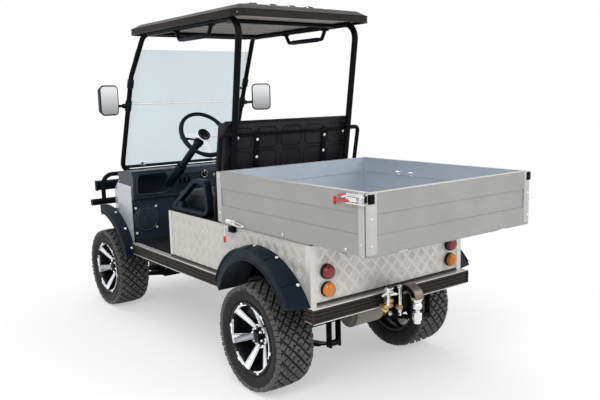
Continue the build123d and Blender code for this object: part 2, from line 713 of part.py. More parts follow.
# Cab front: dashboard with two open cubbies, kick panel, pedals, column.
dash_y = cowl_y - wall - seat_gap
cubby_y = 250.0
cubby_width = 238.0
with BuildPart() as dashboard:
    outer = [(dash_x - 20, dash_low_z), (dash_x - 40, dash_top_z - 40), (dash_x - 10, dash_top_z)]
    outer += [(dash_x + 110, dash_top_z), (dash_x + 225, 1012), (dash_x + 150, dash_low_z)]
    side_profile(outer, -dash_y, dash_y)
    with BuildSketch(Plane.YZ.offset(dash_x - 60)):
        for side in (1, -1):
            with Locations((side * (cubby_y + cubby_width / 2), (dash_low_z + dash_top_z) / 2 + 3)):
                RectangleRounded(cubby_width, dash_top_z - dash_low_z - 58, 30)
    extrude(amount=155, mode=Mode.SUBTRACT)
    rod(on_column(column_end - 120), on_column(column_end + 60), 26.3, mode=Mode.SUBTRACT)
    kick_low = floor_z + seat_gap
    with BuildSketch(Plane.XY.offset(kick_low)):
        for side in (1, -1):
            with Locations((dash_x + 3, side * 350)):
                Rectangle(6, 320)
            with Locations(((dash_x + front_axle_x - 190) / 2, side * 188)):
                Rectangle(front_axle_x - 190 - dash_x, 6)
        with Locations((front_axle_x - 193, 0)):
            Rectangle(6, 370)
    extrude(amount=dash_low_z - kick_low)
finish(dashboard, "dashboard")

pedal_rows = [
    # y, pad width, pad height
    (40, 90, 60),
    (140, 60, 120),
]
with BuildPart() as pedals:
    for y, wide, tall in pedal_rows:
        pad_x = front_axle_x - 300
        block(pad_x - 12, pad_x, y - wide / 2, y + wide / 2, 610, 610 + tall)
        block(pad_x, front_axle_x - 196 - seat_gap, y - 9, y + 9, 630, 648)
finish(pedals, "pedals")

with BuildPart() as steering_wheel:
    with BuildSketch(Plane(origin=on_column(0), x_dir=(0, 1, 0), z_dir=down)):
        Circle(wheel_rim_radius)
        Circle(wheel_rim_radius - 27, mode=Mode.SUBTRACT)
    extrude(amount=13, both=True)
    fillet(steering_wheel.edges(), 10)
    with BuildSketch(Plane(origin=on_column(8), x_dir=(0, 1, 0), z_dir=down)):
        Circle(48)
        with PolarLocations(0, 3, start_angle=-90):
            with Locations(((wheel_rim_radius - 20) / 2, 0)):
                Rectangle(wheel_rim_radius - 20, 34)
    extrude(amount=8, both=True)
    rod(on_column(16), on_column(46), 24)
finish(steering_wheel, "steering_wheel")

with BuildPart() as steering_column:
    rod(on_column(46.5), on_column(column_end * 0.62), 40)
    rod(on_column(column_end * 0.62), on_column(column_end + 30), 26)
    stalk = on_column(75)
    rod(stalk, (stalk[0] - 20, stalk[1] + 150, stalk[2] + 30), 6)
finish(steering_column, "steering_column")

# Roof frame: rear posts that bend into side rails, a front hoop, two cross bars.
rail_x = front_axle_x - 600.0
handle_x = rear_axle_x + 580.0
handle_length = 430.0
handle_slope = 38.0
screen = [
    # x from the front axle, z, half width
    (-560, post_top_z - 20, screen_y - 32),
    (-410, 1690, screen_y),
    (-150, 1012, screen_y),
]
with BuildPart() as roof_frame:
    foot_z = deck_z + tube_r * lean + seat_gap
    side_tube = [(post_x(foot_z), post_y, foot_z), (post_top_x, post_y, post_top_z)]
    side_tube += [(rail_x, post_y, post_top_z)]
    bent_tube(side_tube, 90, tube_r)
    mirror(about=Plane.XZ)
    for x in (post_top_x + 200, rail_x - 60):
        rod((x, -post_y, post_top_z), (x, post_y, post_top_z), 14)
    points = [(front_axle_x + x, y, z) for x, z, y in screen]
    points = [(rail_x, post_y, post_top_z)] + points
    points += [(x, -y, z) for x, y, z in reversed(points)]
    bent_tube(points, 80, hoop_r)
    drop_z = post_top_z - tube_r
    for side in (1, -1):
        y = side * post_y
        handle_end = handle_x + handle_length
        grip = [(handle_x, y, drop_z + 8), (handle_x + handle_slope, y, drop_z - 54)]
        grip += [(handle_end - handle_slope, y, drop_z - 54), (handle_end, y, drop_z + 8)]
        bent_tube(grip, 24, 12)
finish(roof_frame, "roof_frame")

roof_steps = [
    # height of the step, how far it leans in
    (roof_skirt, 0),
    (30, 62),
    (26, 150),
]
with BuildPart() as roof:
    base_z = roof_edge_z
    length = roof_front_x - roof_rear_x
    width = 2 * roof_y
    middle = ((roof_rear_x + roof_front_x) / 2, 0)
    corner = 70.0
    for height, lean_in in roof_steps:
        with BuildSketch(Plane.XY.offset(base_z)):
            with Locations(middle):
                RectangleRounded(length, width, corner)
        extrude(amount=height, taper=degrees(atan2(lean_in, height)))
        base_z += height
        length -= 2 * lean_in
        width -= 2 * lean_in
        corner = max(corner - lean_in, 8)
    with BuildSketch(Plane.XY.offset(base_z)):
        with Locations(middle):
            with GridLocations(0, width / 4, 1, 4):
                Rectangle(length - 60, 60)
    extrude(amount=12, taper=40)
    with BuildSketch(Plane.XY.offset(roof_edge_z)):
        with Locations(middle):
            RectangleRounded(roof_front_x - roof_rear_x - 28, 2 * roof_y - 28, 56)
    extrude(amount=roof_lining, mode=Mode.SUBTRACT)
finish(roof, "roof")

# Windshield: two panes in front of the hoop, the upper one bent at the kink.
glass = 5.0
seam_z = 1503.0
pane_off = hoop_r + seat_gap


def screen_x(z):
    """Front of the hoop at a height."""
    low, kink, top = screen[2], screen[1], screen[0]
    a, b = (low, kink) if z < kink[1] else (kink, top)
    slope = (b[0] - a[0]) / (b[1] - a[1])
    return front_axle_x + a[0] + slope * (z - a[1]) + pane_off * sqrt(1 + slope ** 2)


panes = [
    # heights of the bends, low to high
    (1040, seam_z - 2),
    (seam_z + 2, 1690, 1866),
]
with BuildPart() as windshield:
    for heights in panes:
        back = [(screen_x(z), z) for z in heights]
        front = [(x + glass, z) for x, z in reversed(back)]
        side_profile(back + front, -screen_y + 4, screen_y - 4)
finish(windshield, "windshield")

# Door mirrors on arms from the hoop, turned a little inwards.
mirror_z = 1530.0
mirror_y = 624.0
mirror_width = 156.0
mirror_height = 205.0
mirror_turn = 16.0
mirror_x = screen_x(mirror_z) - pane_off - 30
mirror_rows = [
    # name, start and depth along the turned axis, inset of the outline, taper
    ("mirror_housings", 0, 46, 0, 24),
    ("mirror_glass", -2.5, 2.2, 9, 0),
]
for node_name, start_x, depth, inset, lean_in in mirror_rows:
    with BuildPart() as mirrors:
        turn = radians(mirror_turn)
        face = (mirror_x + start_x * cos(turn), mirror_y + start_x * sin(turn), mirror_z)
        with BuildSketch(Plane(origin=face, x_dir=(-sin(turn), cos(turn), 0), z_dir=(cos(turn), sin(turn), 0))):
            RectangleRounded(mirror_width - 2 * inset, mirror_height - 2 * inset, 36 - inset)
        extrude(amount=depth, taper=lean_in)
        if inset == 0:
            arm_z = mirror_z - 40
            arm_x = screen_x(arm_z) - pane_off
            start = (arm_x, screen_y + hoop_r + seat_gap, arm_z)
            rod(start, (arm_x, mirror_y - 30, arm_z), 10)
        mirror(about=Plane.XZ)
    finish(mirrors, node_name)

# Bed: floor on two bearers that turn on the rear pins, boards on three sides.
half_bed = bed_width / 2
bearer_z = deck_z + seat_gap
bed_floor_z = bearer_z + bearer_height
gate_face_x = bed_rear_x + board
with BuildPart() as bed_floor:
    x0 = gate_face_x + bed_gap
    x1 = bed_front_x - board - seat_gap
    y1 = half_bed - board - seat_gap
    block(x0, x1, -y1, y1, bed_floor_z, bed_floor_z + 4)
    for side in (1, -1):
        y = side * rail_y
        block(x0, x1 - 10, y - 20, y + 20, bearer_z, bed_floor_z)
        pin = (bed_pivot_x, y - 40, bed_pivot_z)
        rod(pin, (bed_pivot_x, y + 40, bed_pivot_z), 8 + running_fit, mode=Mode.SUBTRACT)
    for x in (x0 + 120, bed_pivot_x + 90, bed_pivot_x + 400, x1 - 90):
        block(x, x + 40, -y1, y1, bed_floor_z - 22, bed_floor_z)
    for y in (-350, 350):
        rod((gate_pivot_x, y - 28, gate_pivot_z), (gate_pivot_x, y + 28, gate_pivot_z), 12)
        block(gate_pivot_x, x0 + 30, y - 28, y + 28, gate_pivot_z - 5, gate_pivot_z + 5)
        block(x0 + 20, x0 + 30, y - 28, y + 28, gate_pivot_z, bed_floor_z)
        pin = (gate_pivot_x, y - 40, gate_pivot_z)
        rod(pin, (gate_pivot_x, y + 40, gate_pivot_z), 5 + running_fit, mode=Mode.SUBTRACT)
finish(bed_floor, "bed_floor")

groove_low = bed_bottom_z + 0.34 * bed_height
groove_high = bed_bottom_z + 0.68 * bed_height
bed_top_z = bed_bottom_z + bed_height
post_wide = 42.0
with BuildPart() as bed_boards:
    x0 = gate_face_x + bed_gap
    block(x0, bed_front_x, half_bed - board, half_bed, bed_bottom_z, bed_top_z)
    for y in (half_bed - 5, half_bed - board - 1):
        block(x0 + post_wide, bed_front_x - post_wide, y, y + 6, groove_low, groove_high, mode=Mode.SUBTRACT)
    mirror(about=Plane.XZ)
    y1 = half_bed - board - seat_gap
    block(bed_front_x - board, bed_front_x, -y1, y1, bed_bottom_z, bed_top_z)
    for x in (bed_front_x - 5, bed_front_x - board - 1):
        block(x, x + 6, -y1 + post_wide, y1 - post_wide, groove_low, groove_high, mode=Mode.SUBTRACT)
finish(bed_boards, "bed_boards")

with BuildPart() as tailgate:
    block(bed_rear_x, gate_face_x, -half_bed, half_bed, gate_pivot_z, bed_top_z)
    rod((gate_pivot_x, -half_bed, gate_pivot_z), (gate_pivot_x, half_bed, gate_pivot_z), board / 2)
    for x in (gate_face_x - 5, bed_rear_x - 1):
        y1 = half_bed - post_wide
        block(x, x + 6, -y1, y1, groove_low, groove_high, mode=Mode.SUBTRACT)
    for y in (-350, 350):
        low = gate_pivot_z - board
        block(bed_rear_x - 1, gate_face_x + 1, y - 31, y + 31, low, gate_pivot_z + 18, mode=Mode.SUBTRACT)
        rod((gate_pivot_x, y - 31, gate_pivot_z), (gate_pivot_x, y + 31, gate_pivot_z), 5)
finish(tailgate, "tailgate")

latch_z = bed_top_z - 30.0
latch_x = gate_face_x + bed_gap + 14.0
with BuildPart() as bed_latches:
    out = half_bed + seat_gap
    block(latch_x, latch_x + 105, out, out + 8, latch_z - 20, latch_z + 20)
    block(latch_x + 10, latch_x + 60, out + 8, out + 20, latch_z - 12, latch_z + 12)
    rod((latch_x + 50, out + 14, latch_z), (latch_x + 150, out + 14, latch_z), 5)
    mirror(about=Plane.XZ)
finish(bed_latches, "bed_latches")

with BuildPart() as latch_grips:
    start = (latch_x + 150 + seat_gap, half_bed + seat_gap + 14, latch_z)
    rod(start, (start[0] + 18, start[1], start[2]), 9)
    rod((start[0] + 18, start[1], latch_z - 28), (start[0] + 18, start[1], latch_z + 28), 8)
    mirror(about=Plane.XZ)
finish(latch_grips, "latch_grips")
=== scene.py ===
import json
import math
from functools import cache

import bpy
from mathutils import Matrix, Vector

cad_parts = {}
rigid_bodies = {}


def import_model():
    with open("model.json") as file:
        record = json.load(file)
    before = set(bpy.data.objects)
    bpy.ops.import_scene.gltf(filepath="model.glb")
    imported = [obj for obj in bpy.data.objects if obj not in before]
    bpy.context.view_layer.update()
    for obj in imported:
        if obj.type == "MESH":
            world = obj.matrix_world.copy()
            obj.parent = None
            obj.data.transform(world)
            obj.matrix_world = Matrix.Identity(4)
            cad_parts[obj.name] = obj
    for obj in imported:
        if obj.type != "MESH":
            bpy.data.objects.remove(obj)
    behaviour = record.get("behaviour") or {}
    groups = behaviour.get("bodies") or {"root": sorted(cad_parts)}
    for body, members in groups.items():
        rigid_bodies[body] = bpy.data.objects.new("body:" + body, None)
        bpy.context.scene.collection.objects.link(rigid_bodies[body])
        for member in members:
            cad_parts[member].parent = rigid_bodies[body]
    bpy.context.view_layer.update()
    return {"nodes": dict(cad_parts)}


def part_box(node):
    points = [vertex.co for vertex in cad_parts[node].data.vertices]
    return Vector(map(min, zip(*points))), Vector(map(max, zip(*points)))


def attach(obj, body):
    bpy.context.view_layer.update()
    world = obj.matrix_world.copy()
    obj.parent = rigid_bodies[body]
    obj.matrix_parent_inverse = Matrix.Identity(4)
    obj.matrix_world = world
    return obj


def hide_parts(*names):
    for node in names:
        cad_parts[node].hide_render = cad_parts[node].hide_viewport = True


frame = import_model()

bl_info = {
    "name": "Utility Golf Cart Dressing",
    "version": (1, 0, 0),
    "blender": (4, 5, 0),
    "location": "View3D > Sidebar > Cart",
    "description": "Models the trim, tyres, upholstery and finishes of a utility golf cart",
    "category": "Object",
}

UP = (0, 0, 1)
LEFT = (0, 1, 0)
AHEAD = (1, 0, 0)
BACK = (-1, 0, 0)
OTHER_SIDE = Matrix.Scale(-1, 4, LEFT)
FRONT_AXLE_X = 1.260
REAR_AXLE_X = -0.750
AXLE_Z = 0.286
REAR_ARCH_X = -0.770
REAR_ARCH_Z = 0.292
REAR_ARCH_CLEAR = 0.452
BED_MIDDLE = (-0.997, 0.0, 0.95)
BED_SIDE_Y = 0.5537
GATE_X = -1.6115
MIRROR_Z = 1.53
WHEELS = [
    # corner, x, y, outward side
    ("rear_left", REAR_AXLE_X, 0.514, 1),
    ("rear_right", REAR_AXLE_X, -0.514, -1),
    ("front_left", FRONT_AXLE_X, 0.474, 1),
    ("front_right", FRONT_AXLE_X, -0.474, -1),
]


# Properties


def length_property(name, description, default):
    return bpy.props.FloatProperty(name=name, description=description, default=default, unit="LENGTH")


def colour_property(name, description, default):
    return bpy.props.FloatVectorProperty(
        name=name, description=description, subtype="COLOR", size=3, default=default
    )


class CartSizes(bpy.types.PropertyGroup):
    """Sizes that a user would change."""

    tread_rows: bpy.props.IntProperty(
        name="Tread rows", description="Rows of tread blocks round a tyre", default=30, min=12
    )
    tread_depth: length_property("Tread depth", "Height of the tread blocks", 0.012)
    bar_length: length_property("Bar length", "Length of a tread plate bar", 0.038)
    bar_height: length_property("Bar height", "Height of a tread plate bar", 0.0016)


class CartColours(bpy.types.PropertyGroup):
    """Colours that a user would change."""

    aluminium: colour_property("Aluminium", "Bed boards and trims", (0.325, 0.322, 0.318))
    plate: colour_property("Tread plate", "Bright body panels", (0.68, 0.665, 0.635))
    body: colour_property("Body", "Painted front body", (0.46, 0.49, 0.53))
    grip: colour_property("Grip", "Latch grips", (0.55, 0.02, 0.025))


def sizes():
    return bpy.context.scene.cart_sizes


def colours():
    return bpy.context.scene.cart_colours


# Modelling helpers


def clear_selection():
    if bpy.context.object and bpy.context.object.mode != "OBJECT":
        bpy.ops.object.mode_set(mode="OBJECT")
    bpy.ops.object.select_all(action="DESELECT")


def pick(obj):
    clear_selection()
    obj.select_set(True)
    bpy.context.view_layer.objects.active = obj
    return obj


def open_mesh(obj):
    """Go into edit mode with the whole mesh selected."""
    pick(obj)
    bpy.ops.object.mode_set(mode="EDIT")
    bpy.ops.mesh.select_all(action="SELECT")


def close_mesh():
    bpy.ops.object.mode_set(mode="OBJECT")


def settle(obj):
    """Put an object's place, turn and size into its mesh."""
    pick(obj)
    bpy.ops.object.transform_apply(location=True, rotation=True, scale=True)
    return obj


def apply_modifier(obj, kind, **values):
    pick(obj)
    modifier = obj.modifiers.new(kind.lower(), kind)
    for name, value in values.items():
        setattr(modifier, name, value)
    bpy.ops.object.modifier_apply(modifier=modifier.name)
    return obj


def bevel(obj, width, segments=2, angle=40):
    limit = math.radians(angle)
    return apply_modifier(
        obj, "BEVEL", width=width, segments=segments, limit_method="ANGLE", angle_limit=limit
    )


def middle_of(low, high):
    return Vector([(a + b) / 2 for a, b in zip(low, high)])


def block(low, high, round_edge=0.0, segments=2):
    """Box between two corners with rounded edges."""
    clear_selection()
    bpy.ops.mesh.primitive_cube_add(size=1, location=middle_of(low, high))
    obj = bpy.context.object
    obj.scale = [b - a for a, b in zip(low, high)]
    settle(obj)
    if round_edge:
        bevel(obj, round_edge, segments)
    return obj


def turn_to(axis):
    return Vector(UP).rotation_difference(Vector(axis)).to_euler()


def drum(centre, axis, radius, depth, sides=32, round_edge=0.0, segments=2):
    """Round bar about a centre, along an axis, with rounded rims."""
    clear_selection()
    bpy.ops.mesh.primitive_cylinder_add(
        vertices=sides, radius=radius, depth=depth, location=centre, rotation=turn_to(axis)
    )
    obj = settle(bpy.context.object)
    if round_edge:
        bevel(obj, round_edge, segments, 60)
    return obj


def ring(centre, axis, radius, thick, sides=48, around=12):
    """Round ring about an axis."""
    clear_selection()
    bpy.ops.mesh.primitive_torus_add(
        major_radius=radius, minor_radius=thick, major_segments=sides, minor_segments=around,
        location=centre, rotation=turn_to(axis),
    )
    return settle(bpy.context.object)


def dome(centre, axis, radius, height, sides=24):
    """Half ball with its flat side on a point, pushed to a height along an axis."""
    clear_selection()
    bpy.ops.mesh.primitive_uv_sphere_add(segments=sides, ring_count=sides // 2, radius=radius)
    obj = bpy.context.object
    open_mesh(obj)
    bpy.ops.mesh.bisect(plane_co=(0, 0, 0), plane_no=UP, use_fill=True, clear_inner=True)
    close_mesh()
    obj.scale = (1, 1, height / radius)
    settle(obj)
    obj.rotation_euler = turn_to(axis)
    obj.location = centre
    return settle(obj)


def path(points, closed=False, curved=True, flat=False):
    """Line through points, curved or straight, in space or on a plane."""
    clear_selection()
    curve = bpy.data.curves.new("path", "CURVE")
    curve.dimensions = "2D" if flat else "3D"
    spline = curve.splines.new("NURBS" if curved else "POLY")
    spline.points.add(len(points) - 1)
    for point, spot in zip(spline.points, points):
        point.co = (*spot, 1)
    spline.use_cyclic_u = closed
    if curved:
        spline.order_u = 3
        spline.use_endpoint_u = True
    curve.resolution_u = 8
    return curve


def meshed(curve):
    """Mesh object made from a curve."""
    obj = bpy.data.objects.new("path", curve)
    bpy.context.collection.objects.link(obj)
    pick(obj)
    bpy.ops.object.convert(target="MESH")
    return bpy.context.object


def tube(points, radius, sides=12, closed=False, curved=True):
    """Round tube that follows points on a curved or a straight line."""
    curve = path(points, closed, curved)
    curve.bevel_depth = radius
    curve.bevel_resolution = max(sides // 4 - 1, 0)
    curve.use_fill_caps = True
    return settle(meshed(curve))


def ribbon(points, half, thick, matrix, closed=False):
    """Flat strap whose edge follows points on a plane and whose width stands on it."""
    curve = path([(a, b, 0) for a, b in points], closed, flat=True)
    curve.extrude = half
    curve.fill_mode = "NONE"
    obj = meshed(curve)
    apply_modifier(obj, "SOLIDIFY", thickness=thick, offset=0.0)
    lay(obj, matrix)
    recalculate(obj)
    return obj


def rounded(low, high, corner, steps):
    """Points round a rectangle whose corners are arcs of some steps."""
    points = []
    for sa, sb, start in ((1, 1, 0), (-1, 1, 90), (-1, -1, 180), (1, -1, 270)):
        for step in range(steps + 1):
            angle = math.radians(start + 90 * step / steps)
            a = (high[0] if sa > 0 else low[0]) - sa * corner + corner * math.cos(angle)
            b = (high[1] if sb > 0 else low[1]) - sb * corner + corner * math.sin(angle)
            points.append((a, b))
    return points


def join(pieces, name=None):
    clear_selection()
    for piece in pieces:
        piece.select_set(True)
    bpy.context.view_layer.objects.active = pieces[0]
    if len(pieces) > 1:
        bpy.ops.object.join()
    obj = bpy.context.object
    if name:
        obj.name = name
        obj.data.name = name
    return obj


def copy_piece(obj, name, matrix):
    """Copy with a mesh of its own, moved by a matrix."""
    pick(obj)
    bpy.ops.object.duplicate(linked=False)
    twin = bpy.context.object
    twin.name = name
    twin.data.name = name
    twin.matrix_world = matrix
    settle(twin)
    if matrix.determinant() < 0:
        recalculate(twin)
    return twin


def frame_of(origin, u, v):
    """Matrix that lays X and Y along two directions from a point."""
    u, v = Vector(u).normalized(), Vector(v).normalized()
    return Matrix.Translation(origin) @ Matrix((u, v, u.cross(v))).transposed().to_4x4()


def lay(obj, matrix):
    obj.matrix_world = matrix
    return settle(obj)


def row(obj, count, step):
    """Repeat a piece along a step."""
    return apply_modifier(
        obj, "ARRAY", count=count, use_relative_offset=False, use_constant_offset=True,
        constant_offset_displace=step,
    )


def spun(obj, steps, angle=2 * math.pi, copies=True):
    """Turn a mesh about Y, as separate copies or as one swept solid."""
    open_mesh(obj)
    bpy.ops.mesh.spin(
        steps=steps, dupli=copies, angle=angle, center=(0, 0, 0), axis=LEFT, use_auto_merge=False
    )
    close_mesh()
    return obj


def sector(y0, y1, r0, r1, start, end, steps=10, round_edge=0.0):
    """Part of a ring about Y, between two angles in degrees from +X towards -Z."""
    clear_selection()
    bpy.ops.mesh.primitive_plane_add(size=1, location=((r0 + r1) / 2, (y0 + y1) / 2, 0))
    obj = bpy.context.object
    obj.scale = (r1 - r0, y1 - y0, 1)
    settle(obj)
    lay(obj, Matrix.Rotation(math.radians(start), 4, "Y"))
    spun(obj, steps, math.radians(end - start), False)
    recalculate(obj)
    if round_edge:
        bevel(obj, round_edge, 2, 50)
    return obj


def lathe(section, steps=96):
    """Ring about Y whose section is a closed list of sideways places and radii."""
    count = len(section)
    clear_selection()
    bpy.ops.mesh.primitive_torus_add(
        major_radius=0.24, minor_radius=0.05, major_segments=steps, minor_segments=count,
        rotation=(math.pi / 2, 0, 0),
    )
    obj = settle(bpy.context.object)
    for index, vertex in enumerate(obj.data.vertices):
        around = math.atan2(vertex.co.z, vertex.co.x)
        sideways, radius = section[index % count]
        vertex.co = (radius * math.cos(around), sideways, radius * math.sin(around))
    recalculate(obj)
    return obj


def ribbon(points, half, thick, matrix, closed=False):
    """Flat strap whose edge follows points on a plane and whose width stands on it."""
    clear_selection()
    curve = bpy.data.curves.new("path", "CURVE")
    curve.dimensions = "2D"
    spline = curve.splines.new("NURBS")
    spline.points.add(len(points) - 1)
    for point, (a, b) in zip(spline.points, points):
        point.co = (a, b, 0, 1)
    spline.use_cyclic_u = closed
    spline.order_u = 3
    spline.use_endpoint_u = True
    curve.resolution_u = 8
    curve.extrude = half
    curve.fill_mode = "NONE"
    obj = bpy.data.objects.new("ribbon", curve)
    bpy.context.collection.objects.link(obj)
    pick(obj)
    bpy.ops.object.convert(target="MESH")
    obj = bpy.context.object
    apply_modifier(obj, "SOLIDIFY", thickness=thick, offset=0.0)
    lay(obj, matrix)
    recalculate(obj)
    return obj


def bolts(name, body, spots, axis, radius, material):
    """Round-headed bolts with washers at a list of points, facing one way or one way each."""
    washer = drum((0, 0, 0.0008), UP, radius * 1.45, 0.0022, 20, 0.0005)
    head = join([washer, dome((0, 0, 0.0015), UP, radius, radius * 0.6, 16)], "bolt_head")
    axes = axis if isinstance(axis, list) else [axis] * len(spots)
    made = []
    for spot, way in zip(spots, axes):
        turn = turn_to(way).to_matrix().to_4x4()
        made.append(copy_piece(head, "bolt", Matrix.Translation(spot) @ turn))
    bpy.data.objects.remove(head)
    return place(join(made), name, body, material)


def recalculate(obj):
    open_mesh(obj)
    bpy.ops.mesh.normals_make_consistent(inside=False)
    close_mesh()


def mirrored(obj):
    """Join a piece with its copy on the other side of the cart."""
    twin = copy_piece(obj, obj.name + "_other", OTHER_SIDE)
    return join([obj, twin])


def right_of(points):
    """Points on the other side of the cart."""
    return [(x, -y, z) for x, y, z in points]


def at_wheel(x, y, side):
    """Matrix that carries a wheel from the origin to its corner."""
    return Matrix.Translation((x, y, AXLE_Z)) @ Matrix.Rotation(math.pi / 2 * (1 - side), 4, "Z")


def smooth(obj, angle=35):
    pick(obj)
    bpy.ops.object.shade_smooth_by_angle(angle=math.radians(angle))
    return obj


def place(obj, name, body, material, angle=35):
    """Name a finished piece, give it its finish and let it ride on a body."""
    obj.name = name
    obj.data.name = name
    smooth(obj, angle)
    obj.data.materials.clear()
    obj.data.materials.append(material)
    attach(obj, body)
    return obj


def fit(pieces, name, body, material, both_sides=False):
    """Join pieces, with their copies on the other side if asked, and place them as one."""
    obj = join(pieces)
    return place(mirrored(obj) if both_sides else obj, name, body, material)


# Node helpers


def new_group(name, inputs, outputs):
    """Node group with named sockets; inputs are (name, default)."""
    group = bpy.data.node_groups.new(name, "ShaderNodeTree")
    for socket, default in inputs:
        made = group.interface.new_socket(socket, in_out="INPUT", socket_type="NodeSocketFloat")
        made.default_value = default
    for socket, kind in outputs:
        group.interface.new_socket(socket, in_out="OUTPUT", socket_type=kind)
    start = group.nodes.new("NodeGroupInput")
    end = group.nodes.new("NodeGroupOutput")
    return group, start, end


def node(tree, kind, links=(), **values):
    """Add a node, set its values, and link (socket, source) pairs into it."""
    made = tree.nodes.new(kind)
    for name, value in values.items():
        setattr(made, name, value)
    for socket, source in links:
        if hasattr(source, "links"):
            tree.links.new(source, made.inputs[socket])
        else:
            made.inputs[socket].default_value = source
    return made


def ramp(tree, source, low, high):
    made = node(tree, "ShaderNodeMapRange", [("Value", source), ("From Min", low), ("From Max", high)])
    return made.outputs[0]


def noise(tree, vector, scale, detail):
    return node(tree, "ShaderNodeTexNoise", [("Vector", vector), ("Scale", scale), ("Detail", detail)])


def reckon(tree, operation, *values):
    """Output of a Math node."""
    return node(tree, "ShaderNodeMath", list(enumerate(values)), operation=operation).outputs[0]


def coordinate(tree, kind, axis):
    """One coordinate of the place or of the normal."""
    source = node(tree, "ShaderNodeTexCoord").outputs[kind]
    return node(tree, "ShaderNodeSeparateXYZ", [("Vector", source)]).outputs[axis]


def mixed(tree, mask, under, over):
    """Colour that goes from one to another with a mask; each is a socket or a colour."""
    mix = node(tree, "ShaderNodeMix", [("Factor", mask), (6, under), (7, over)], data_type="RGBA")
    return mix.outputs[2]


@cache
def fine_grain():
    """Fine moulded or sprayed grain, with slow tone and gloss changes."""
    group, start, end = new_group(
        "fine_grain", [("Scale", 900.0), ("Patch Scale", 6.0)],
        [("Height", "NodeSocketFloat"), ("Patch", "NodeSocketFloat")],
    )
    place_on = node(group, "ShaderNodeTexCoord").outputs["Object"]
    fine = noise(group, place_on, start.outputs["Scale"], 2.0)
    slow = noise(group, place_on, start.outputs["Patch Scale"], 4.0)
    group.links.new(fine.outputs["Fac"], end.inputs["Height"])
    group.links.new(slow.outputs["Fac"], end.inputs["Patch"])
    return group


@cache
def brush_lines():
    """Straight brushing along X or Y, as on rolled and anodised metal."""
    group, start, end = new_group(
        "brush_lines", [("Across", 260.0), ("Along", 3.0)],
        [("Height", "NodeSocketFloat"), ("Patch", "NodeSocketFloat")],
    )
    place_on = node(group, "ShaderNodeTexCoord").outputs["Object"]
    split = node(group, "ShaderNodeSeparateXYZ", [("Vector", place_on)])
    plan = reckon(group, "ADD", split.outputs["X"], split.outputs["Y"])
    along = reckon(group, "MULTIPLY", plan, start.outputs["Along"])
    across = reckon(group, "MULTIPLY", split.outputs["Z"], start.outputs["Across"])
    stretched = node(group, "ShaderNodeCombineXYZ", [("X", along), ("Z", across)])
    lines = noise(group, stretched.outputs[0], 1.0, 3.0)
    slow = noise(group, place_on, 5.0, 5.0)
    group.links.new(lines.outputs["Fac"], end.inputs["Height"])
    group.links.new(slow.outputs["Fac"], end.inputs["Patch"])
    return group


@cache
def road_dust():
    """Road dust that lies low on the cart and on faces that look up."""
    group, start, end = new_group(
        "road_dust", [("Top", 0.55), ("Amount", 0.35)], [("Mask", "NodeSocketFloat")]
    )
    place_on = node(group, "ShaderNodeTexCoord").outputs["Object"]
    height = coordinate(group, "Object", "Z")
    low = ramp(group, height, start.outputs["Top"], 0.05)
    facing = ramp(group, coordinate(group, "Normal", "Z"), -0.2, 1.0)
    spots = ramp(group, noise(group, place_on, 22.0, 6.0).outputs["Fac"], 0.35, 0.75)
    both = reckon(group, "MULTIPLY", low, spots)
    more = reckon(group, "MULTIPLY_ADD", facing, 0.5, 0.5)
    scaled = reckon(group, "MULTIPLY", reckon(group, "MULTIPLY", both, more), start.outputs["Amount"])
    group.links.new(scaled, end.inputs["Mask"])
    return group


DUST = (0.30, 0.27, 0.23, 1)
PATCH_RANGE = (0.3, 0.7)
GLOSS_SPREAD = 0.15


def blank(name):
    """Material with a Principled shader and its node tree."""
    material = bpy.data.materials.new(name)
    material.use_nodes = True
    return material, material.node_tree, material.node_tree.nodes["Principled BSDF"]


def tone(tree, mask, dark, light):
    return mixed(tree, mask, (*dark, 1), (*light, 1))


def bump(tree, shader, height, strength, distance):
    made = node(tree, "ShaderNodeBump", [("Height", height), ("Strength", strength), ("Distance", distance)])
    tree.links.new(made.outputs["Normal"], shader.inputs["Normal"])


def textured(name, colour, rough, metal=0.0, texture=fine_grain, spread=0.12, depth=0.0002, scale=900.0,
             dust=0.0, dust_top=0.6, strength=0.25, **sockets):
    """Finish with grain or brushing, slow tone changes and dust."""
    material, tree, shader = blank(name)
    detail = node(tree, "ShaderNodeGroup", node_tree=texture())
    detail.inputs[0].default_value = scale
    dark = [c * (1 - spread) for c in colour]
    light = [min(c * (1 + spread), 1) for c in colour]
    base = tone(tree, ramp(tree, detail.outputs["Patch"], *PATCH_RANGE), dark, light)
    if dust:
        dirt = node(tree, "ShaderNodeGroup", node_tree=road_dust())
        dirt.inputs["Amount"].default_value = dust
        dirt.inputs["Top"].default_value = dust_top
        base = mixed(tree, dirt.outputs["Mask"], base, DUST)
    tree.links.new(base, shader.inputs["Base Color"])
    gloss = node(
        tree, "ShaderNodeMapRange",
        [("Value", detail.outputs["Patch"]), ("From Min", PATCH_RANGE[0]), ("From Max", PATCH_RANGE[1]),
         ("To Min", rough * (1 - GLOSS_SPREAD)), ("To Max", min(rough * (1 + GLOSS_SPREAD), 1))],
    )
    tree.links.new(gloss.outputs[0], shader.inputs["Roughness"])
    bump(tree, shader, detail.outputs["Height"], strength, depth)
    shader.inputs["Metallic"].default_value = metal
    for socket, value in sockets.items():
        shader.inputs[socket.replace("_", " ")].default_value = value
    return material


def overpaint(material, mask, colour):
    """Lay a second colour over a finish where a mask is 1."""
    tree = material.node_tree
    shader = tree.nodes["Principled BSDF"]
    under = shader.inputs["Base Color"].links[0].from_socket
    tree.links.new(mixed(tree, mask, under, (*colour, 1)), shader.inputs["Base Color"])
    return material


@cache
def black_plastic():
    return textured("moulded_black", (0.0030, 0.0080, 0.0145), 0.44, dust=0.03, scale=1400.0, spread=0.2,
                    Specular_IOR_Level=0.11)


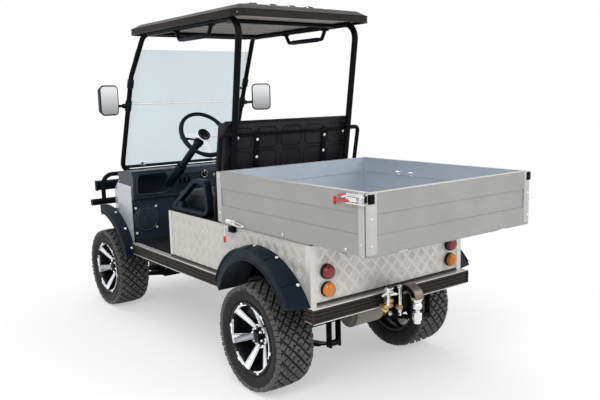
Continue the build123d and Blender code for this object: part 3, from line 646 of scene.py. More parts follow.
@cache
def roof_black():
    return textured("roof_black", (0.0150, 0.0125, 0.0115), 0.40, scale=1100.0, spread=0.2,
                    Specular_IOR_Level=0.10)


@cache
def cab_black_painted_sky_light():
    # Lighter, bluer copy of the moulded black for the cab: painted sky light.
    return textured("cab_black_painted_sky_light", (0.0150, 0.0205, 0.0340), 0.30, scale=1400.0, spread=0.2,
                    Specular_IOR_Level=0.34)


@cache
def back_black():
    return textured("back_black", (0.0135, 0.0130, 0.0150), 0.42, scale=1100.0, spread=0.3,
                    Specular_IOR_Level=0.14)


@cache
def bare_sheet():
    return textured("bare_sheet", (0.60, 0.62, 0.65), 0.40, metal=0.3, texture=brush_lines, scale=300.0,
                    spread=0.06, strength=0.12)


@cache
def mat_rubber():
    return textured("mat_rubber", (0.0080, 0.0085, 0.0100), 0.60, scale=800.0, spread=0.2,
                    Specular_IOR_Level=0.2)


@cache
def gloss_black():
    return textured("gloss_black", (0.004, 0.0045, 0.006), 0.2, scale=500.0, depth=0.0001, dust=0.03,
                    Specular_IOR_Level=0.25)


@cache
def black_paint():
    return textured("satin_black_paint", (0.0050, 0.0052, 0.0060), 0.30, scale=420.0, depth=0.0003, dust=0.05,
                    Specular_IOR_Level=0.05)


@cache
def aluminium():
    """Anodised boards, with painted sky light: the faces that look into the bed are painted paler and bluer.
    """
    material = textured("anodised_boards", colours().aluminium, 0.42, metal=0.45, texture=brush_lines,
                        scale=380.0, strength=0.12, spread=0.05)
    tree = material.node_tree
    coordinates = node(tree, "ShaderNodeTexCoord")
    from_middle = node(
        tree, "ShaderNodeVectorMath", [(0, coordinates.outputs["Object"]), (1, BED_MIDDLE)],
        operation="SUBTRACT",
    )
    facing = node(
        tree, "ShaderNodeVectorMath", [(0, coordinates.outputs["Normal"]), (1, from_middle.outputs[0])],
        operation="DOT_PRODUCT",
    )
    # Mask of the faces that look into the bed, which take the paler, bluer painted sky light.
    inner_sky_light_mask = ramp(tree, facing.outputs["Value"], -0.2, -0.3)
    return overpaint(material, inner_sky_light_mask, (0.40, 0.45, 0.51))


@cache
def pale_aluminium():
    return textured("anodised_posts", (0.47, 0.465, 0.455), 0.38, metal=0.4, texture=brush_lines,
                    scale=420.0, strength=0.1, spread=0.05)


@cache
def bright_aluminium():
    return textured("bright_trim", (0.62, 0.61, 0.59), 0.30, metal=0.5, texture=brush_lines, scale=520.0,
                    depth=0.0001, strength=0.1, spread=0.05)


@cache
def tread_plate():
    """Tread plate, with painted shade that makes the two sides darker than the rear."""
    material = textured("tread_plate", colours().plate, 0.38, metal=0.3, scale=160.0, depth=0.0003,
                        spread=0.06, strength=0.12)
    tree = material.node_tree
    sideways = reckon(tree, "ABSOLUTE", coordinate(tree, "Normal", "Y"))
    # Faces that look sideways are painted at 0.8 of the plate colour: painted shade of the sides.
    return overpaint(material, ramp(tree, sideways, 0.5, 0.8), [c * 0.80 for c in colours().plate])


@cache
def bar_metal():
    # Bars a little darker than the plate they stand on: painted shade between the bars.
    return textured("tread_bar_painted_shade_metal", [c * 0.88 for c in colours().plate], 0.40, metal=0.3, scale=160.0,
                    spread=0.1)


@cache
def side_bar_painted_shade_metal():
    # Darker copy of the bar metal for the sides: painted shade.
    return textured("side_bar_painted_shade_metal", [c * 0.86 for c in colours().plate], 0.40, metal=0.3, scale=160.0,
                    spread=0.1)


@cache
def rubber():
    return textured("tyre_rubber", (0.0075, 0.0072, 0.0075), 0.66, scale=700.0, depth=0.0004, dust=0.05,
                    dust_top=0.75, spread=0.2, Specular_IOR_Level=0.3)


@cache
def lug_rubber_painted_light():
    # Lug rubber ten times lighter than the carcass rubber: painted light on the lug tops against the dark
    # gaps.
    return textured("lug_rubber_painted_light", (0.075, 0.071, 0.072), 0.66, scale=500.0, depth=0.0004, dust=0.10,
                    dust_top=0.75, spread=0.25, Specular_IOR_Level=0.4)


@cache
def strip_rubber():
    return textured("strip_rubber", (0.026, 0.022, 0.020), 0.52, scale=900.0, spread=0.2, dust=0.05,
                    Specular_IOR_Level=0.14)


@cache
def vinyl():
    return textured("seat_vinyl", (0.0075, 0.008, 0.010), 0.46, scale=420.0, depth=0.0008, spread=0.15,
                    strength=0.35, Specular_IOR_Level=0.14)


@cache
def cast_grey():
    """Cast motor case, with its gearbox end painted black."""
    material = textured("cast_grey", (0.22, 0.205, 0.185), 0.5, metal=0.3, scale=260.0, depth=0.0008,
                        dust=0.2)
    tree = material.node_tree
    case_end = ramp(tree, coordinate(tree, "Object", "Y"), -0.080, -0.086)
    return overpaint(material, case_end, (0.008, 0.008, 0.009))


@cache
def iron():
    return textured("bare_iron", (0.16, 0.15, 0.14), 0.5, metal=0.5, scale=260.0, depth=0.0006, dust=0.2)


@cache
def bronze():
    return textured("bronze_strap", (0.20, 0.165, 0.13), 0.36, metal=0.6, texture=brush_lines, scale=200.0)


@cache
def chrome():
    return textured("polished_steel", (0.78, 0.78, 0.78), 0.12, metal=0.9, scale=60.0, depth=0.0001,
                    spread=0.05, strength=0.05)


@cache
def zinc():
    return textured("zinc_plate", (0.62, 0.60, 0.55), 0.32, metal=0.7, scale=240.0, depth=0.0002)


@cache
def bright_bolt():
    return textured("bright_bolt", (0.75, 0.75, 0.74), 0.3, metal=0.2, scale=240.0, depth=0.0001)


@cache
def brass_zinc():
    return textured("yellow_zinc", (0.50, 0.36, 0.15), 0.34, metal=0.7, scale=240.0, depth=0.0002)


@cache
def machined():
    return textured("machined_face", (0.90, 0.92, 0.96), 0.26, metal=0.15, scale=700.0, depth=0.0001,
                    spread=0.04, strength=0.05)


@cache
def grey_lining():
    return textured("roof_lining", (0.30, 0.275, 0.255), 0.62, scale=300.0, spread=0.12, depth=0.0004)


@cache
def body_paint():
    return textured("silver_paint", colours().body, 0.34, metal=0.25, scale=1800.0, depth=0.0001, spread=0.04,
                    Coat_Weight=0.5, Coat_Roughness=0.1)


@cache
def red_grip():
    return textured("red_grip", colours().grip, 0.40, scale=900.0, spread=0.1)


def lens(name, colour):
    """Coloured lens with prisms that glows a little."""
    material, tree, shader = blank(name)
    place_on = node(tree, "ShaderNodeTexCoord").outputs["Object"]
    prisms = node(tree, "ShaderNodeTexVoronoi", [("Vector", place_on), ("Scale", 170.0)])
    base = tone(tree, ramp(tree, prisms.outputs["Distance"], 0.0, 0.7), [c * 0.55 for c in colour], colour)
    tree.links.new(base, shader.inputs["Base Color"])
    tree.links.new(base, shader.inputs["Emission Color"])
    shader.inputs["Emission Strength"].default_value = 0.03
    shader.inputs["Roughness"].default_value = 0.16
    shader.inputs["Coat Weight"].default_value = 0.2
    bump(tree, shader, prisms.outputs["Distance"], 0.4, 0.001)
    return material


@cache
def red_lens():
    return lens("red_lens", (0.22, 0.007, 0.010))


@cache
def amber_lens():
    return lens("amber_lens", (0.60, 0.17, 0.004))


@cache
def clear_lens():
    return lens("clear_lens", (0.75, 0.78, 0.80))


@cache
def clear_pane():
    """Slightly green clear sheet."""
    material, _, shader = blank("clear_pane")
    shader.inputs["Base Color"].default_value = (0.20, 0.55, 0.68, 1)
    shader.inputs["Roughness"].default_value = 0.03
    shader.inputs["Alpha"].default_value = 0.22
    shader.inputs["IOR"].default_value = 1.45
    material.surface_render_method = "BLENDED"
    return material


@cache
def mirror_face():
    """Mirror with a painted sky reflection: brighter towards its top, as one that shows sky over ground."""
    material, tree, shader = blank("mirror_face")
    painted_sky_reflection = ramp(tree, coordinate(tree, "Object", "Z"), MIRROR_Z - 0.10, MIRROR_Z + 0.07)
    base = tone(tree, painted_sky_reflection, (0.27, 0.275, 0.285), (0.80, 0.81, 0.82))
    tree.links.new(base, shader.inputs["Base Color"])
    shader.inputs["Metallic"].default_value = 1.0
    shader.inputs["Roughness"].default_value = 0.05
    return material


# Operators


class CART_OT_finishes(bpy.types.Operator):
    """Give every carried-over solid its finish"""

    bl_idname = "cart.finishes"
    bl_label = "Finishes"

    def execute(self, context):
        table = {
            black_paint: "chassis_frame body_deck tow_bracket rear_axle leaf_springs front_suspension tie_rod"
                         " pedals seat_frame roof_frame brush_guard floor_pan",
            roof_black: "roof",
            black_plastic: "rear_flares front_flares front_nose steering_column mirror_housings"
                           " arm_rests battery_pack light_bar steering_wheel",
            aluminium: "bed_boards tailgate",
            bare_sheet: "bed_floor",
            cab_black_painted_sky_light: "dashboard",
            bright_aluminium: "perimeter_channel panel_trims bed_latches",
            tread_plate: "tread_panels",
            strip_rubber: "rub_strips",
            vinyl: "seat_cushion seat_backrest",
            cast_grey: "drive_motor",
            iron: "knuckle_left knuckle_right",
            chrome: "tow_ball",
            body_paint: "front_cowl",
            clear_pane: "windshield",
            mirror_face: "mirror_glass",
            red_grip: "latch_grips",
            gloss_black: " ".join(f"rim_{corner}" for corner, *_ in WHEELS),
            rubber: " ".join(f"tyre_{corner}" for corner, *_ in WHEELS),
            red_lens: "tail_lamps",
            amber_lens: "indicator_lamps",
            clear_lens: "headlamps",
        }
        for finish, names in table.items():
            for name in names.split():
                mesh = frame["nodes"][name].data
                mesh.materials.clear()
                mesh.materials.append(finish())
        return {"FINISHED"}


class CART_OT_tyres(bpy.types.Operator):
    """Model one tyre with a diagonal block tread and put a copy on each wheel"""

    bl_idname = "cart.tyres"
    bl_label = "Tyres"

    def execute(self, context):
        carcass = self.carcass()
        tread = join([self.blocks(), self.shoulders()], "tread")
        for corner, x, y, side in WHEELS:
            turn = at_wheel(x, y, side)
            piece = copy_piece(carcass, "tyre", turn)
            place(piece, f"tyre_body_{corner}", f"wheel_{corner}", rubber(), 30)
            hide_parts(f"tyre_{corner}")
            blocks = copy_piece(tread, "tread", turn)
            place(blocks, f"tyre_tread_{corner}", f"wheel_{corner}", lug_rubber_painted_light(), 25)
        bpy.data.objects.remove(carcass)
        bpy.data.objects.remove(tread)
        return {"FINISHED"}

    def carcass(self):
        """Ring whose section runs from bead to bead over a flat crown."""
        crown = AXLE_Z - sizes().tread_depth
        section = [
            # sideways, radius
            (0.0875, 0.1805), (0.0890, 0.1965), (0.0960, 0.2005), (0.1000, 0.2020), (0.1015, 0.2055),
            (0.1010, 0.2090), (0.1060, 0.2180), (0.1095, 0.2300), (0.1105, 0.2420), (0.1090, 0.2520),
            (0.1045, 0.2610), (0.0970, 0.2685), (0.0860, crown - 0.001), (0.0560, crown), (0.0, crown),
        ]
        return lathe(section + [(-a, r) for a, r in reversed(section[:-1])])

    def hooked_block(self, size, depth):
        """Square block with a notch in one side."""
        clear_selection()
        bpy.ops.mesh.primitive_grid_add(x_subdivisions=3, y_subdivisions=3, size=size)
        obj = bpy.context.object
        bpy.ops.object.mode_set(mode="EDIT")
        bpy.ops.mesh.select_all(action="DESELECT")
        bpy.ops.object.mode_set(mode="OBJECT")
        notch = min(obj.data.polygons, key=lambda face: (face.center - Vector((size / 3, 0, 0))).length)
        notch.select = True
        bpy.ops.object.mode_set(mode="EDIT")
        bpy.ops.mesh.select_mode(type="FACE")
        bpy.ops.mesh.delete(type="FACE")
        bpy.ops.mesh.select_all(action="SELECT")
        bpy.ops.mesh.dissolve_limited(angle_limit=0.01)
        bpy.ops.mesh.select_all(action="SELECT")
        bpy.ops.mesh.extrude_region_move(TRANSFORM_OT_translate={"value": (0, 0, depth)})
        recalculate(obj)
        return bevel(obj, 0.0016, 1, 60)

    def blocks(self):
        """Notched lozenge blocks in two staggered rows."""
        rows = sizes().tread_rows
        depth = sizes().tread_depth + 0.002
        pitch = 0.0535
        one = self.hooked_block(0.0292, depth)
        made = []
        for line, count in ((0, 4), (1, 3)):
            for column in range(count):
                sideways = (column - (count - 1) / 2) * pitch
                drop = 0.007 * (abs(sideways) / 0.1) ** 3
                turn = Matrix.Rotation(math.pi / rows * line, 4, "Y")
                lift = Matrix.Translation((0, sideways, AXLE_Z - depth - drop))
                way = Matrix.Rotation(math.radians(45 + 90 * ((column + line) % 4)), 4, "Z")
                made.append(copy_piece(one, "block", turn @ lift @ way))
        bpy.data.objects.remove(one)
        return spun(join(made, "blocks"), rows)

    def shoulders(self):
        """Stepped lugs that wrap each shoulder, long and short in turn."""
        rows = sizes().tread_rows
        made = []
        for side in (1, -1):
            for line, reach in ((0, 0.046), (1, 0.030)):
                obj = block((-0.0125, -0.010, -reach / 2), (0.0125, 0.010, reach / 2))
                bevel(obj, 0.0022, 1)
                turn = Matrix.Rotation(2 * math.pi / rows * (line / 2 + 0.25), 4, "Y")
                lift = Matrix.Translation((0, side * 0.0985, AXLE_Z - 0.007 - reach / 2))
                made.append(lay(obj, turn @ lift @ Matrix.Rotation(side * math.radians(-17), 4, "X")))
        return spun(join(made, "shoulders"), rows)


class CART_OT_wheels(bpy.types.Operator):
    """Model one dished six-spoke wheel and put a copy on each corner"""

    bl_idname = "cart.wheels"
    bl_label = "Wheels"
    spokes = 6
    spoke_angle = 15
    gap_angle = 45

    def execute(self, context):
        parts = [
            # name, mesh, slot, finish
            ("rim_barrel", self.barrel(), "rim_metal", gloss_black()),
            ("spoke_faces", self.faces(), "rim_metal", machined()),
            ("spoke_lines", self.lines(), "black_plastic", gloss_black()),
            ("hub_boss", self.boss(), "rim_metal", machined()),
            ("hub_cap", self.cap(), "black_plastic", gloss_black()),
            ("lug_nuts", self.nuts(), "chrome_ball", chrome()),
        ]
        for name, mesh, slot, finish in parts:
            for corner, x, y, side in WHEELS:
                piece = copy_piece(mesh, name, at_wheel(x, y, side))
                place(piece, f"{name}_{corner}", f"wheel_{corner}", finish)
                if name == "rim_barrel":
                    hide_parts(f"rim_{corner}")
            bpy.data.objects.remove(mesh)
        return {"FINISHED"}

    def around(self, first):
        """Angles of the six spokes, or of the gaps between them, from the first one."""
        return [first + 360 / self.spokes * number for number in range(self.spokes)]

    def gap_spot(self, angle, sideways):
        """Point on the circle of the nuts."""
        return (0.044 * math.cos(math.radians(angle)), sideways, -0.044 * math.sin(math.radians(angle)))

    def on_spoke(self):
        """Matrix of a spoke's face: X outwards along the spoke, Z out of the wheel."""
        turn = Matrix.Rotation(math.radians(self.spoke_angle), 3, "Y")
        along = turn @ Vector((0.130, 0.064, 0)).normalized()
        return frame_of(turn @ Vector((0.050, 0.028, 0)), along, turn @ Vector((0, 0, -1)))

    def bar(self, start, end, near, far, low, high):
        """Bar along a spoke that widens from the hub to the lip."""
        obj = block((start, -1, low), (end, 1, high))
        for vertex in obj.data.vertices:
            share = (vertex.co.x - start) / (end - start)
            vertex.co.y *= near + (far - near) * share
        return bevel(obj, 0.0012, 2)

    def barrel(self):
        """Black barrel with both lips, the bodies of the spokes and the hub disc."""
        section = [
            # sideways, radius
            (0.0975, 0.1935), (0.0990, 0.1905), (0.0990, 0.1830), (0.0960, 0.1790), (0.0900, 0.1765),
            (0.0500, 0.1700), (-0.0600, 0.1660), (-0.0900, 0.1740), (-0.0975, 0.1770), (-0.0975, 0.1935),
            (-0.0905, 0.1925), (-0.0860, 0.1800), (0.0860, 0.1800), (0.0905, 0.1925),
        ]
        spoke = self.bar(-0.004, 0.141, 0.0165, 0.0265, -0.018, 0.0005)
        spokes = spun(lay(spoke, self.on_spoke()), self.spokes)
        disc = drum((0, 0.012, 0), LEFT, 0.058, 0.034, 48, 0.003)
        notches = [sector(0.0960, 0.1000, 0.1815, 0.1930, middle - 17, middle + 17, 10, 0.001)
                   for middle in self.around(self.gap_angle)]
        return join([lathe(section), spokes, disc, *notches], "barrel")

    def faces(self):
        """Bright plate with a bolt on each of the six spokes, and a bright line round the lip."""
        plate = self.bar(0.006, 0.141, 0.0155, 0.0255, -0.001, 0.0028)
        screw = drum((0.118, 0, 0.0032), UP, 0.0042, 0.003, 6, 0.0006)
        made = [spun(lay(join([plate, screw]), self.on_spoke()), self.spokes)]
        for middle in self.around(self.spoke_angle):
            made.append(sector(0.0860, 0.0995, 0.1730, 0.1915, middle - 9.0, middle + 9.0, 8, 0.001))
            made.append(sector(0.0880, 0.0985, 0.1735, 0.1785, middle + 8, middle + 52, 16, 0.001))
        return join(made, "faces")

    def lines(self):
        """Dark grooves inside both edges of each spoke."""
        made = []
        for side in (1, -1):
            ends = [(0.012, side * 0.0120, 0.0027), (0.136, side * 0.0190, 0.0027)]
            made.append(tube(ends, 0.0011, 8, False, False))
        return spun(lay(join(made), self.on_spoke()), self.spokes)

    def boss(self):
        """Bright boss with a lobe at each spoke."""
        made = [ring((0, 0.0285, 0), LEFT, 0.0565, 0.0045, 48, 10)]
        for middle in self.around(self.spoke_angle):
            made.append(sector(0.0200, 0.0400, 0.0380, 0.0640, middle - 15, middle + 15, 8, 0.0035))
        return join(made, "boss")

    def cap(self):
        """Black cap over the stub, with round lobes between the spokes."""
        made = [
            drum((0, 0.0440, 0), LEFT, 0.0235, 0.034, 40, 0.004, 3),
            dome((0, 0.0600, 0), LEFT, 0.019, 0.006),
            ring((0, 0.0590, 0), LEFT, 0.0165, 0.0020, 40, 8),
        ]
        for middle in self.around(self.gap_angle):
            made.append(drum(self.gap_spot(middle, 0.032), LEFT, 0.0135, 0.022, 24, 0.003))
        return join(made, "cap")

    def nuts(self):
        """Six domed nuts."""
        body = drum(self.gap_spot(self.gap_angle, 0.0465), LEFT, 0.0078, 0.012, 6, 0.0018)
        top = dome(self.gap_spot(self.gap_angle, 0.0520), LEFT, 0.0066, 0.006, 12)
        return spun(join([body, top], "nuts"), self.spokes)


class CART_OT_tread_bars(bpy.types.Operator):
    """Raise the bar pattern on the body panels"""

    bl_idname = "cart.tread_bars"
    bl_label = "Tread plate bars"

    def execute(self, context):
        low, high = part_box("tread_panels")
        rear, front = low[0], high[0]
        bottom, top = low[2] + 0.012, high[2]
        half = high[1]
        tall = top - bottom
        middle = (bottom + top) / 2
        left = self.sheet_of_bars(front - rear, tall)
        lay(left, frame_of(((rear + front) / 2, half, middle), BACK, UP))
        self.clear_arch(left)
        back = self.sheet_of_bars(2 * half, tall)
        lay(back, frame_of((rear, 0, middle), (0, -1, 0), UP))
        riser = self.sheet_of_bars(2 * half, tall)
        lay(riser, frame_of((front, 0, middle), LEFT, UP))
        # The side bars take the darker copy of the bar metal, painted shade of the sides.
        place(mirrored(left), "side_bars", "chassis", side_bar_painted_shade_metal(), 60)
        place(join([back, riser]), "rear_bars", "chassis", bar_metal(), 60)
        return {"FINISHED"}

    def sheet_of_bars(self, wide, tall):
        """Basket weave of bar groups, laid at 45 degrees and cut to a rectangle."""
        long = sizes().bar_length
        high = sizes().bar_height
        cell = long * 1.38
        spacing = long / 4.5
        obj = block((-long / 2, -0.0019, -high * 0.3), (long / 2, 0.0019, high))
        apply_modifier(obj, "BEVEL", width=0.0014, segments=1)
        obj.location = (0, -2 * spacing, 0)
        settle(obj)
        row(obj, 5, (0, spacing, 0))
        quarter = Matrix.Rotation(math.pi / 2, 4, "Z")
        turned = copy_piece(obj, "turned", Matrix.Translation((cell, 0, 0)) @ quarter)
        tile = join([obj, turned], "tile")
        reach = (wide + tall) / math.sqrt(2)
        count = math.ceil(reach / (2 * cell)) + 1
        row(tile, count, (2 * cell, 0, 0))
        other = copy_piece(tile, "other", Matrix.Translation((cell, cell, 0)))
        tile = join([tile, other], "tile")
        row(tile, count, (0, 2 * cell, 0))
        shift = Matrix.Translation((-reach / 2 - cell, -reach / 2 - cell, 0))
        lay(tile, Matrix.Rotation(math.radians(45), 4, "Z") @ shift)
        bpy.ops.object.mode_set(mode="EDIT")
        for span, normal in ((wide, AHEAD), (wide, BACK), (tall, LEFT), (tall, (0, -1, 0))):
            bpy.ops.mesh.select_all(action="SELECT")
            edge = Vector(normal) * span / 2
            bpy.ops.mesh.bisect(plane_co=edge, plane_no=normal, clear_outer=True, use_fill=False)
        close_mesh()
        return tile

    def clear_arch(self, obj):
        """Delete the bars that would float in a wheel arch."""
        pick(obj)
        bpy.ops.object.mode_set(mode="EDIT")
        bpy.ops.mesh.select_mode(type="VERT")
        bpy.ops.mesh.select_all(action="DESELECT")
        bpy.ops.object.mode_set(mode="OBJECT")
        for vertex in obj.data.vertices:
            if math.hypot(vertex.co.x - REAR_ARCH_X, vertex.co.z - REAR_ARCH_Z) < REAR_ARCH_CLEAR:
                vertex.select = True
        bpy.ops.object.mode_set(mode="EDIT")
        bpy.ops.mesh.select_linked()
        bpy.ops.mesh.delete(type="VERT")
        bpy.ops.object.mode_set(mode="OBJECT")


class CART_OT_seats(bpy.types.Operator):
    """Pad the cushion and the backrest, and add the moulded panel behind the backrest"""

    bl_idname = "cart.seats"
    bl_label = "Bench"
    draw_in = 0.012
    most_swell = 0.007
    seam_depth = 0.005
    pressure = 4.0
    cloth_frames = 20

    def execute(self, context):
        pads = [
            # node, piece, shift to the front
            ("seat_cushion", "cushion_pad", 0.0),
            ("seat_backrest", "backrest_pad", 0.009),
        ]
        for part, name, shift in pads:
            pad = self.pad(context, part, name, shift)
            place(pad, name, "chassis", vinyl(), 60)
            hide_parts(part)
            place(self.piping(pad, part), name + "_piping", "chassis", vinyl())
        self.back_panel()
        self.arm_loops()
        return {"FINISHED"}

    def arm_loops(self):
        """Rounded loop with a solid front foot at each end of the bench."""
        line = [
            # x, height
            (-0.120, 0.8590), (-0.165, 0.8590), (-0.196, 0.8830), (-0.202, 0.9200), (-0.188, 1.0200),
            (-0.180, 1.0480), (-0.150, 1.0500), (-0.080, 1.0500), (-0.050, 1.0480), (-0.020, 1.0250),
            (0.190, 0.8900), (0.222, 0.8640), (0.200, 0.8590), (0.150, 0.8590),
        ]
        loop = ribbon(line, 0.020, 0.024, frame_of((0, 0.502, 0), AHEAD, UP), True)
        bevel(loop, 0.006, 3, 50)
        foot = block((0.105, 0.485, 0.8458), (0.222, 0.519, 0.9100))
        for vertex in foot.data.vertices:
            if vertex.co.z > 0.9 and vertex.co.x > 0.2:
                vertex.co.x = 0.138
        bevel(foot, 0.005, 2)
        loop = fit([loop, foot], "arm_loops", "chassis", black_plastic(), True)
        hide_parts("arm_rests")

    def pad(self, context, part, name, shift):
        """Copy of a solid, drawn in a little, remeshed and blown up as cloth."""
        clear_selection()
        obj = bpy.data.objects.new(name, frame["nodes"][part].data.copy())
        obj.matrix_world = frame["nodes"][part].matrix_world
        context.collection.objects.link(obj)
        settle(obj)
        open_mesh(obj)
        bpy.ops.mesh.remove_doubles(threshold=0.00001)
        close_mesh()
        low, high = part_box(part)
        middle = middle_of(low, high)
        smaller = Matrix.Diagonal([1 - self.draw_in / (b - a) for a, b in zip(low, high)]).to_4x4()
        moved_to = Matrix.Translation(middle + Vector((shift, 0, 0)))
        lay(obj, moved_to @ smaller @ Matrix.Translation(-middle))
        obj.data.remesh_voxel_size = 0.008
        bpy.ops.object.voxel_remesh()
        start = [vertex.co.copy() for vertex in obj.data.vertices]
        self.blow_up(context, obj)
        for vertex, was in zip(obj.data.vertices, start):
            moved = vertex.co - was
            if moved.length > self.most_swell:
                vertex.co = was + moved.normalized() * self.most_swell
        apply_modifier(obj, "SMOOTH", factor=0.5, iterations=4)
        self.sew(obj, part)
        return apply_modifier(obj, "SUBSURF", levels=1, render_levels=1)

    def sew(self, obj, part):
        """Pull the seating face in along its sewn lines."""
        facing = 2 if part == "seat_cushion" else 0
        channels = [
            # axis that the line crosses, place, half width
            (1, 0.0, 0.016), (1, 0.235, 0.013), (1, -0.235, 0.013),
            (0, 0.085, 0.013) if facing == 2 else (2, 1.285, 0.013),
        ]
        normals = [vertex.normal.copy() for vertex in obj.data.vertices]
        for vertex, normal in zip(obj.data.vertices, normals):
            if normal[facing] > 0.5:
                for axis, spot, half in channels:
                    gap = min(abs(vertex.co[axis] - spot) / half, 1)
                    vertex.co -= normal * self.seam_depth * (1 - gap * gap) ** 2

    def piping(self, pad, part):
        """Round bead that follows the edge of the seating face."""
        low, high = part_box(part)
        across, up, out = (0, 1, 2) if part == "seat_cushion" else (1, 2, 0)
        corners = rounded((low[across], low[up]), (high[across], high[up]), 0.045, 3)
        line = []
        for number, (a0, b0) in enumerate(corners):
            line.append((a0, b0))
            if number % 4 == 3:
                a1, b1 = corners[(number + 1) % len(corners)]
                line += [(a0 + (a1 - a0) * step / 12, b0 + (b1 - b0) * step / 12) for step in range(1, 12)]
        middle = middle_of(low, high)
        down = Vector([-1 if axis == out else 0 for axis in range(3)])
        bead = []
        for a, b in line:
            for share in (0.94, 0.90, 0.85, 0.80):
                above = middle.copy()
                above[across] += (a - middle[across]) * share
                above[up] += (b - middle[up]) * share
                above[out] = high[out] + 0.5
                hit, spot, _, _ = pad.ray_cast(above, down)
                if hit:
                    break
            else:
                raise RuntimeError(f"piping of {part} misses its pad")
            spot = spot.copy()
            spot[across] = a
            spot[up] = b
            bead.append(pad.closest_point_on_mesh(spot)[1].copy())
        return tube(bead, 0.0045, 8, True)

    def blow_up(self, context, obj):
        """Let a pad swell as cloth under pressure, without gravity."""
        cloth = obj.modifiers.new("cloth", "CLOTH")
        cloth.settings.use_pressure = True
        cloth.settings.uniform_pressure_force = self.pressure
        cloth.settings.effector_weights.gravity = 0.0
        cloth.point_cache.frame_start = 1
        cloth.point_cache.frame_end = self.cloth_frames
        for number in range(1, self.cloth_frames + 1):
            context.scene.frame_set(number)
        pick(obj)
        bpy.ops.object.modifier_apply(modifier="cloth")
        context.scene.frame_set(1)

    def back_panel(self):
        """Rounded panel with three rows of embossed outlines, on the slope of the rear posts."""
        slope = frame_of((-0.3243, 0, 1.19), (0, -1, 0), (-0.1460, 0, 0.9893))
        panel = block((-0.470, -0.215, -0.010), (0.470, 0.214, -0.001))
        marks = [tube(self.outline(0.0, 0.0, 0.925, 0.412, 0.05), 0.006, 8, True)]
        for height, tall in ((0.112, 0.118), (-0.022, 0.112), (-0.150, 0.110)):
            for column in range(5):
                across = (column - 2) * 0.178
                marks.append(tube(self.outline(across, height, 0.146, tall, 0.032), 0.0035, 8, True))
        bevel(panel, 0.004)
        place(lay(panel, slope), "back_panel", "chassis", back_black())
        # The outlines are ridges in the darker gloss black: painted shade of the embossed grooves.
        place(lay(join(marks), slope), "back_outlines_painted_shade", "chassis", gloss_black())
        spots = [
            # across, up
            (-0.385, 0.118), (-0.25, 0.103), (-0.25, 0.0), (0.25, 0.103), (0.25, 0.005),
            (0.40, 0.118), (0.40, -0.1),
        ]
        heads = [slope @ Vector((u, v, 0.0085)) for u, v in spots]
        bolts("back_bolts", "chassis", heads, slope.to_3x3() @ Vector(UP), 0.0060, bright_bolt())

    def outline(self, across, up, wide, tall, corner):
        """Points of a rounded rectangle on the panel."""
        low, high = (across - wide / 2, up - tall / 2), (across + wide / 2, up + tall / 2)
        return [(u, v, -0.001) for u, v in rounded(low, high, corner, 4)]


